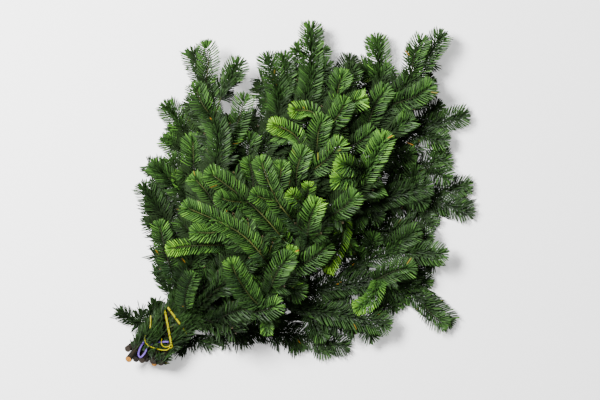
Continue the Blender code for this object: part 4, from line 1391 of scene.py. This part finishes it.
def twiglets(twig, taken, random):
    """Short twigs that alternate along a long one, as paths, away from the places already taken."""
    along = lengths_along(twig.path)
    ahead, left, _ = directions(twig.path)
    grown = []
    side = 1.0
    for place in np.arange(TWIGLETS_FROM, along[-1] - TWIGLETS_END, TWIGLET_STEP):
        side = -side
        place = place + random.uniform(-3.0, 3.0)
        index = int(np.argmin(np.abs(along - place)))
        if twig.reaches[index] < 7.0 or any(abs(place - other) < 8.0 for other in taken):
            continue
        turn = side * math.radians(random.uniform(38.0, 56.0))
        out = math.cos(turn) * ahead[index] + math.sin(turn) * left[index]
        length = random.uniform(24.0, 36.0)
        rise = -random.uniform(3.0, 9.0)
        share = np.linspace(0.0, 1.0, 8)[:, None]
        grown.append(
            twig.path[index] + length * share * out + 0.16 * length * share**2 * ahead[index]
            + rise * np.sin(1.8 * share) * np.array([0.0, 0.0, 1.0])
        )
    return grown


# Gaps between the solids where the real bunch has low twigs, mm
GAPS = (
    (118, 156), (134, 168), (102, 148), (284, 130), (268, 120), (0, 44), (10, 30), (422, 151), (412, -156),
    (402, -168), (302, -184), (314, -194), (186, -86), (206, -95), (226, -106), (345, -126), (414, -60),
    (440, 76), (472, 84), (373, 145), (115, 140), (-1, -38), (253, -103), (240, -114), (350, -55),
    (267, 68), (139, -94), (162, -90), (344, -146), (413, 60), (272, 181), (-43, 44), (225, -185),
    (400, 52), (182, 196), (284, 72), (108, 158), (122, 167), (138, 177), (130, 184), (-8, -34), (2, -42),
    (278, 115), (262, -92), (248, -98), (62, -84), (76, -90), (302, 193), (310, -191), (132, 153), (194, 200),
    (318, -116), (374, -62), (452, 62), (274, -235), (398, -44), (326, -128), (276, -108),
)
LEAVES_BEFORE = 24.0
BEYOND_GAP = 10.0


def gap_twigs():
    """For each solid and twig, the low side twigs that fill the gaps beside it, as paths."""
    grown = {}
    for gap in GAPS:
        places = [
            (np.min(np.linalg.norm(twig.path[:, :2] - gap, axis=1)), node, place)
            for node, twigs in leafy.items() for place, twig in enumerate(twigs) if not twig.on_top
        ]
        _, node, place = min(places)
        path = leafy[node][place].path
        along = lengths_along(path)
        start = path[int(np.argmin(np.abs(along - max(0.0, along[nearest(path, gap)] - LEAVES_BEFORE))))]
        aim = np.array([*gap, min(start[2], 14.0)]) - start
        end = start + aim * (1.0 + BEYOND_GAP / max(np.linalg.norm(aim[:2]), 8.0))
        share = np.linspace(0.0, 1.0, 9)[:, None]
        grown.setdefault((node, place), []).append(start + share * (end - start))
    return grown


GAP_TWIGS = gap_twigs()

# Tips of the freshest shoots: the place in mm, and how much the shoot and its tip are limed
LIME_TIPS = (
    ((280, -6), -0.03, 0.42), ((198, -90), 0.12, 0.34), ((165, -42), 0.0, 0.26), ((410, 40), 0.08, 0.30),
    ((190, -152), 0.16, 0.30), ((96, -90), 0.04, 0.20), ((155, 160), 0.12, 0.34), ((262, -84), 0.04, 0.26),
    ((290, 110), 0.04, 0.36), ((320, 100), 0.04, 0.36), ((292, -4), 0.20, 0.22), ((343, 15), 0.0, 0.24),
    ((316, 10), 0.20, 0.22), ((397, -16), 0.06, 0.34),
    ((132, -81), -0.16, 0.40), ((98, -57), -0.14, 0.0),
)


def lime_twigs():
    """How much the twigs are limed whose tips are nearest to the fresh places, and on top."""
    found = {}
    for tip, more, at_tip in LIME_TIPS:
        places = [
            (np.linalg.norm(twig.path[-1, :2] - tip) - 0.3 * twig.path[-1, 2], node, place)
            for node, twigs in leafy.items() for place, twig in enumerate(twigs)
        ]
        found[min(places)[1:]] = more, at_tip
    return found


LIME_TWIGS = lime_twigs()

# Twigs that lie on top of a solid's own: the solid, the points of the path, and the needles' habit
OVERLAID = (
    ("bottom_leader", ((243, -150, 25), (234, -158, 33), (214, -164, 36), (190, -156, 35)),
     Look(tone=0.56, tip_tone=0.20, reach=13.0, length=13.8, rib_step=2.3, width=1.6, past_bud=8.0, neat=True)),
    ("top_left_first", ((104, -61, 83), (104, -44, 87), (107, -25, 91), (112, -6, 99), (114, 2, 101)),
     Look(tone=0.38, tip_tone=0.04, reach=19.0, length=20.0, ranks=PARTED, width=1.5, past_bud=8.0,
          crown=False, neat=True)),
    ("centre_near_tie", ((26, 8, 50), (38, 20, 60), (52, 28, 70), (66, 33, 80), (74, 35, 82)),
     Look(tone=0.36, tip_tone=0.06, reach=14.0, length=15.0, ranks=PARTED, width=1.5, past_bud=8.0, neat=True)),
    ("top_left_leader", ((168, -50, 72), (178, -45, 84), (187, -39, 90), (194, -35, 91)),
     Look(tone=0.60, tip_tone=0.16, reach=10.0, length=10.6, rib_step=2.0, width=1.5, past_bud=5.0, neat=True)),
    ("top_left_leader", ((99, -74, 62), (94, -82, 63), (88, -89, 63), (82, -95, 60)),
     Look(tone=0.48, tip_tone=0.10, reach=10.0, length=10.6, rib_step=2.0, width=1.5, past_bud=5.0, neat=True)),
)


def dress(node, number):
    """The needles, twigs and buds that stand for one solid."""
    twigs = leafy[node]
    branch = next(branch for branch in BRANCHES if node.startswith(branch.name))
    is_leader = node.endswith("_leader")
    spray = next((spray for spray in branch.sprays if node == branch.name + "_" + spray.name), None)
    full = NEEDLE_REACH if is_leader else spray.reach
    joint = joint_of(node)
    gathered = Gathered()
    lines = []
    for place, twig in enumerate(twigs):
        random = np.random.default_rng(1000 * number + place)
        reach = full if place == 0 else 0.92 * full
        along = lengths_along(twig.path)
        if is_leader and place == 0:
            natural = leader_reaches(along, reach)
            look = look_of(node, twig, reach, old=True)
            start = BARE_END_RADIUS
        else:
            natural = reaches_of(along, reach)
            look = look_of(node, twig, reach)
            start = 1.1 if place == 0 else 0.9
        if (node, place) in LIME_TWIGS:
            more, at_tip = LIME_TWIGS[node, place]
            look.tone, look.tip_tone = look.tone + more, max(look.tip_tone, at_tip)
        if along[-1] < BUD_TO_TIP + 8.0:
            continue
        press = np.clip(twig.reaches / natural, 0.0, 1.0)
        line = wood_line(twig.path, start, joint if place == 0 else None)
        lines.append(line)
        radii = np.interp(along, lengths_along(line[0]), line[1])
        grow_needles(gathered, twig.path, radii, press, random, look, off_the_tie)
        grow_buds(gathered, twig.path, BUD_TO_TIP, random)
        taken = [along[nearest(twig.path, other.path[0, :2])] for other in twigs[1:]] if place == 0 else []
        for path in [*twiglets(twig, taken, random), *GAP_TWIGS.get((node, place), [])]:
            small = short_look(look)
            lines.append(wood_line(path, 1.0, None, small.past_bud))
            grow_needles(gathered, path, np.full(len(path), 0.9), np.ones(len(path)), random, small, off_the_tie)
            grow_buds(gathered, path, small.past_bud, random)
    for points, habit in [(points, habit) for owner, points, habit in OVERLAID if owner == node]:
        path = smooth_path(points, PATH_STEP)
        lines.append(wood_line(path, 0.9, None, habit.past_bud))
        grow_needles(gathered, path, np.full(len(path), 0.9), np.ones(len(path)), random, habit)
        if habit.crown:
            grow_buds(gathered, path, habit.past_bud, random)
    corners, faces = wood_of(lines)
    # Painted shade on the wood: darker deep in the bunch and near the tie, given as its deep number.
    shaded = np.maximum(deep_at(corners), 0.95 * unkempt_at(corners[:, 0] - 50.0))
    gathered.add(above_floor(corners), faces, WOOD, smooth=True, deep=shaded, tone=TONES[node][0])
    made = gathered.piece(node + "_foliage", (needle_green, twig_brown, bud_brown))
    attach(made, "root")
    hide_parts(node)
    return len(made.data.polygons)


# %% Dress them all
faces_made = {node: dress(node, number) for number, node in enumerate(leafy)}
print("faces of foliage:", sum(faces_made.values()), "largest:", max(faces_made, key=faces_made.get),
      max(faces_made.values()))

# %% [markdown]
# ## The bare stems
#
# Behind the tie the stems are bare, thick and cut at a slant with shears. A stem is a round tube along
# its path, sliced by a tilted plane, and the slice is closed with a face of cut wood. From a little
# before the tie on, short dark needles lie along the bark.

# %% Bark, cut face and short needles
STEM_NEEDLES_FROM = -64.0
FRESHLY_CUT = {"upper_left_stem": 0.75, "bottom_stem": 1.0, "left_back_stem": 0.35}


def tube_with_cut(path, radii):
    """A round stem with its butt sliced at a slant: corners, triangles, and which triangles are the cut."""
    ahead, left, up = directions(path)
    longer = np.vstack([path[0] - 8.0 * ahead[0], path])
    corners, faces = wood_of([(longer, np.append(radii[0], radii))], roundness=4)
    shape = bmesh.new()
    for corner in corners:
        shape.verts.new(corner)
    shape.verts.ensure_lookup_table()
    for face in faces:
        shape.faces.new([shape.verts[index] for index in face])
    bmesh.ops.remove_doubles(shape, verts=shape.verts, dist=0.001)
    slice_normal = Vector(ahead[0] - CUT_SLANT * up[0])
    cut = bmesh.ops.bisect_plane(
        shape, geom=[*shape.verts, *shape.edges, *shape.faces],
        plane_co=Vector(path[0]), plane_no=slice_normal, clear_inner=True,
    )
    rim = [item for item in cut["geom_cut"] if isinstance(item, bmesh.types.BMEdge)]
    filled = bmesh.ops.edgeloop_fill(shape, edges=rim)["faces"]
    bmesh.ops.triangulate(shape, faces=shape.faces)
    bmesh.ops.recalc_face_normals(shape, faces=shape.faces)
    shape.verts.index_update()
    places = np.array([vertex.co for vertex in shape.verts])
    triangles = np.array([[vertex.index for vertex in face.verts] for face in shape.faces])
    middle = np.array([face.normal.dot(slice_normal) < -0.98 * slice_normal.length for face in shape.faces])
    shape.free()
    return places, triangles, middle


def own_place(path, places):
    """For each place, how far it is left of, above and along a stem, in metres."""
    ahead, left, up = directions(path)
    along = lengths_along(path)
    closest = np.argmin(np.linalg.norm(places[:, None, :] - path[None, :, :], axis=2), axis=1)
    apart = places - path[closest]
    return MM * np.column_stack([
        np.sum(apart * left[closest], axis=1), np.sum(apart * up[closest], axis=1),
        along[closest] + np.sum(apart * ahead[closest], axis=1),
    ])


def dress_stem(node, number):
    path, radii = stems[node], bare_radii(stems[node])
    random = np.random.default_rng(500 + number)
    gathered = Gathered()
    places, triangles, is_cut = tube_with_cut(path, radii)
    gathered.add(places, triangles[~is_cut], 0, smooth=True)
    gathered.add(places[:0], triangles[is_cut] - len(places), 1)
    wooded = own_place(path, places)
    leafy_part = path[path[:, 0] > STEM_NEEDLES_FROM - 6.0 * random.uniform(-1.0, 1.0)]
    if len(leafy_part) > 3:
        beyond = leafy_part[-1] + (leafy_part[-1] - leafy_part[-2]) * (BUD_TO_TIP / PATH_STEP)
        line = np.vstack([leafy_part, beyond])
        look = Look(tone=0.34, tip_tone=0.0, reach=13.0, length=14.0, rib_step=1.8, ranks=STEM_RANKS,
                    form=LOW_NEEDLE, start=0.0, crown=False)
        radius = np.full(len(line), 3.8)
        grow_needles(gathered, line, radius, np.ones(len(line)), random, look, off_the_tie)
        for line in over_ribbon(node):
            grow_needles(gathered, line, np.zeros(len(line)), np.ones(len(line)), random, look, off_the_tie)
    for index in range(len(gathered.slots)):
        if index > 1:
            gathered.slots[index] = np.full(len(gathered.slots[index]), 2)
    made = gathered.piece(node + "_wood", (bark, cut_wood, needle_green))
    fresh = made.data.attributes.new("fresh", "FLOAT", "POINT")
    fresh.data.foreach_set("value", np.full(len(made.data.vertices), FRESHLY_CUT.get(node, 0.0), np.float32))
    grain = np.zeros((len(made.data.vertices), 3), np.float32)
    grain[:len(wooded)] = wooded
    layer = made.data.attributes.new("grain", "FLOAT_VECTOR", "POINT")
    layer.data.foreach_set("vector", grain.ravel())
    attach(made, "root")
    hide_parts(node)
    return len(made.data.polygons)


print("faces of the stems:", sum(dress_stem(node, number) for number, node in enumerate(stems)))

# %% [markdown]
# ## The yellow strap
#
# The strap goes twice round the stems, once on a slant, and ends in a knot with a long looping tail
# and a short one. It is drawn as a flat band: an edge is extruded from point to point along its
# course, and Solidify and Bevel give it the thickness and soft edges of extruded plastic.

# %% A band drawn along its course


def band(name, points, outward, width, thickness, finish, smooth_levels=1):
    """A flat band through the points, its flat side facing outward, as an object."""
    shape = bmesh.new()
    carried = shape.verts.layers.float.new("across")
    edge = None
    for index, (point, out) in enumerate(zip(points, outward)):
        ahead = points[min(index + 1, len(points) - 1)] - points[max(index - 1, 0)]
        side = np.cross(ahead, out)
        side = side / np.linalg.norm(side) * 0.5 * width
        places = [(point + side - TIE_TO_MIDDLE) * MM, (point - side - TIE_TO_MIDDLE) * MM]
        if edge is None:
            edge = shape.edges.new([shape.verts.new(place) for place in places])
        else:
            moved = bmesh.ops.extrude_edge_only(shape, edges=[edge])["geom"]
            edge = next(item for item in moved if isinstance(item, bmesh.types.BMEdge))
            for vertex, place in zip(edge.verts, places):
                vertex.co = place
        edge.verts[0][carried] = 1.0
        edge.verts[1][carried] = -1.0
    bmesh.ops.recalc_face_normals(shape, faces=shape.faces)
    mesh = bpy.data.meshes.new(name)
    shape.to_mesh(mesh)
    shape.free()
    mesh.materials.append(finish.material)
    mesh.shade_smooth()
    made = bpy.data.objects.new(name, mesh)
    bpy.context.scene.collection.objects.link(made)
    wall = made.modifiers.new("thickness", "SOLIDIFY")
    wall.thickness = thickness * MM
    wall.offset = 0.0
    soft = made.modifiers.new("soft_edges", "BEVEL")
    soft.width = 0.3 * thickness * MM
    soft.segments = 2
    soft.limit_method = "ANGLE"
    return made


def along_course(stops, step):
    """Smooth points through stops that hold a place and an outward direction."""
    rows = smooth_path([np.concatenate([place, out]) for place, out in stops], step)
    return rows[:, :3], rows[:, 3:]


# %% The strap's turns, tails and knot
turns = along_course(list(zip(*[[np.array(item) for item in items] for items in strap_round()])), 1.5)
up_now = np.array([0.0, 0.0, 1.0])
strap_parts = [band("strap_turns", *turns, 0.65 * STRAP_WIDTH, STRAP_THICKNESS, strap_yellow)]
for name, stops, width in (("long_tail", LONG_TAIL, 0.36), ("short_tail", SHORT_TAIL, 0.36)):
    course = smooth_path(stops, 1.5)
    strap_parts.append(band(name, course, [up_now] * len(course), width * STRAP_WIDTH, STRAP_THICKNESS,
                            strap_yellow))
knot_turns = []
for step in range(49):
    turn = 2.0 * math.pi * step / 16.0
    wide = 1.0 - 0.18 * step / 48.0
    knot_turns.append((
        np.array(KNOT) + np.array([3.0 * wide * math.cos(turn), 2.3 * wide * math.sin(turn), 0.05 * step - 1.1]),
        np.array([math.cos(turn), math.sin(turn), 0.3]),
    ))
strap_parts.append(band("knot", *along_course(knot_turns, 1.0), 2.4, STRAP_THICKNESS, strap_yellow))


def joined(name, parts, node):
    """One object of several, with their modifiers applied, that stands for a solid."""
    graph = bpy.context.evaluated_depsgraph_get()
    shape = bmesh.new()
    for part in parts:
        mesh = bpy.data.meshes.new_from_object(part.evaluated_get(graph))
        shape.from_mesh(mesh)
        bpy.data.meshes.remove(mesh)
    mesh = bpy.data.meshes.new(name)
    shape.to_mesh(mesh)
    shape.free()
    mesh.materials.append(parts[0].data.materials[0])
    made = bpy.data.objects.new(name, mesh)
    bpy.context.scene.collection.objects.link(made)
    for part in parts:
        bpy.data.objects.remove(part)
    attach(made, "root")
    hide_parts(node)
    return made


strap = joined("strap_band", strap_parts, "yellow_strap")
print("strap faces:", len(strap.data.polygons))

# %% [markdown]
# ## The lilac ribbon
#
# The ribbon is a narrow loop on the butts, tucked under the strap. It is drawn in the same way as the
# strap, but thinner.

# %% The ribbon's loop
course = smooth_path(RIBBON_PATH, 1.5)
ribbon = joined(
    "ribbon_band",
    [band("ribbon_loop", course, [up_now] * len(course), 0.7 * RIBBON_WIDTH, 0.5 * RIBBON_THICKNESS,
          ribbon_lilac)],
    "lilac_ribbon",
)
print("ribbon faces:", len(ribbon.data.polygons))

# %% [markdown]
# ## Floor, light and camera
#
# The bunch lies on a plain pale floor under a large soft light. The camera looks straight down from
# far off with a long lens, as the photograph does, so the tips at the rim are hardly nearer than the
# middle.

# %% The floor
PHOTO_MIDDLE = (0.0075, 0.008)
PHOTO_WIDTH = 0.84
CAMERA_HEIGHT = 3.0

floor_shape = bmesh.new()
bmesh.ops.create_grid(floor_shape, x_segments=4, y_segments=4, size=6.0)
floor_mesh = bpy.data.meshes.new("floor")
floor_shape.to_mesh(floor_mesh)
floor_shape.free()
floor_finish = Finish("floor_white", Roughness=0.9)
specks = floor_finish.noise(3.0)
paper = floor_finish.mixed(specks, rgb(0.93, 0.93, 0.93), rgb(0.95, 0.95, 0.95))
floor_finish.feed(floor_finish.shader.inputs["Base Color"], paper)
floor_finish.feed(floor_finish.shader.inputs["Emission Color"], paper)
floor_finish.feed(floor_finish.shader.inputs["Emission Strength"], 0.45)
floor_mesh.materials.append(floor_finish.material)
floor = bpy.data.objects.new("floor", floor_mesh)
bpy.context.scene.collection.objects.link(floor)
floor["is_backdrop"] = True
print("floor laid")

# %% Light and camera
world = bpy.data.worlds.new("soft_room")
world.use_nodes = True
world.node_tree.nodes["Background"].inputs["Color"].default_value = rgb(1.0, 1.0, 1.0)
world.node_tree.nodes["Background"].inputs["Strength"].default_value = 0.33
bpy.context.scene.world = world


def soft_light(name, place, size, power):
    lamp = bpy.data.lights.new(name, "AREA")
    lamp.shape = "DISK"
    lamp.size = size
    lamp.energy = power
    holder = bpy.data.objects.new(name, lamp)
    holder.location = place
    holder.rotation_euler = Vector(place).to_track_quat("Z", "Y").to_euler()
    bpy.context.scene.collection.objects.link(holder)


soft_light("key_light", (-0.3, 1.5, 1.9), 0.9, 250.0)

camera_data = bpy.data.cameras.new("camera")
camera_data.lens = 36.0 * CAMERA_HEIGHT / PHOTO_WIDTH
camera_data.clip_end = 50.0
camera = bpy.data.objects.new("camera", camera_data)
camera.location = (*PHOTO_MIDDLE, CAMERA_HEIGHT)
camera.rotation_euler = (0.0, 0.0, math.radians(-45.0))
bpy.context.scene.collection.objects.link(camera)
bpy.context.scene.camera = camera
print("lens:", round(camera_data.lens, 1))

# %% [markdown]
# ## The size of the dressed bunch
#
# The needles may stand a little proud of the solids, but the whole stays the same size; both boxes are
# printed side by side.

# %% Print the sizes
dressed_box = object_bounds()
sizes = {"cad": [list(corner) for corner in cad_box], "dressed": [list(corner) for corner in dressed_box]}
for name, (low, high) in sizes.items():
    print(name, [round(1000 * value, 1) for value in low], [round(1000 * value, 1) for value in high])
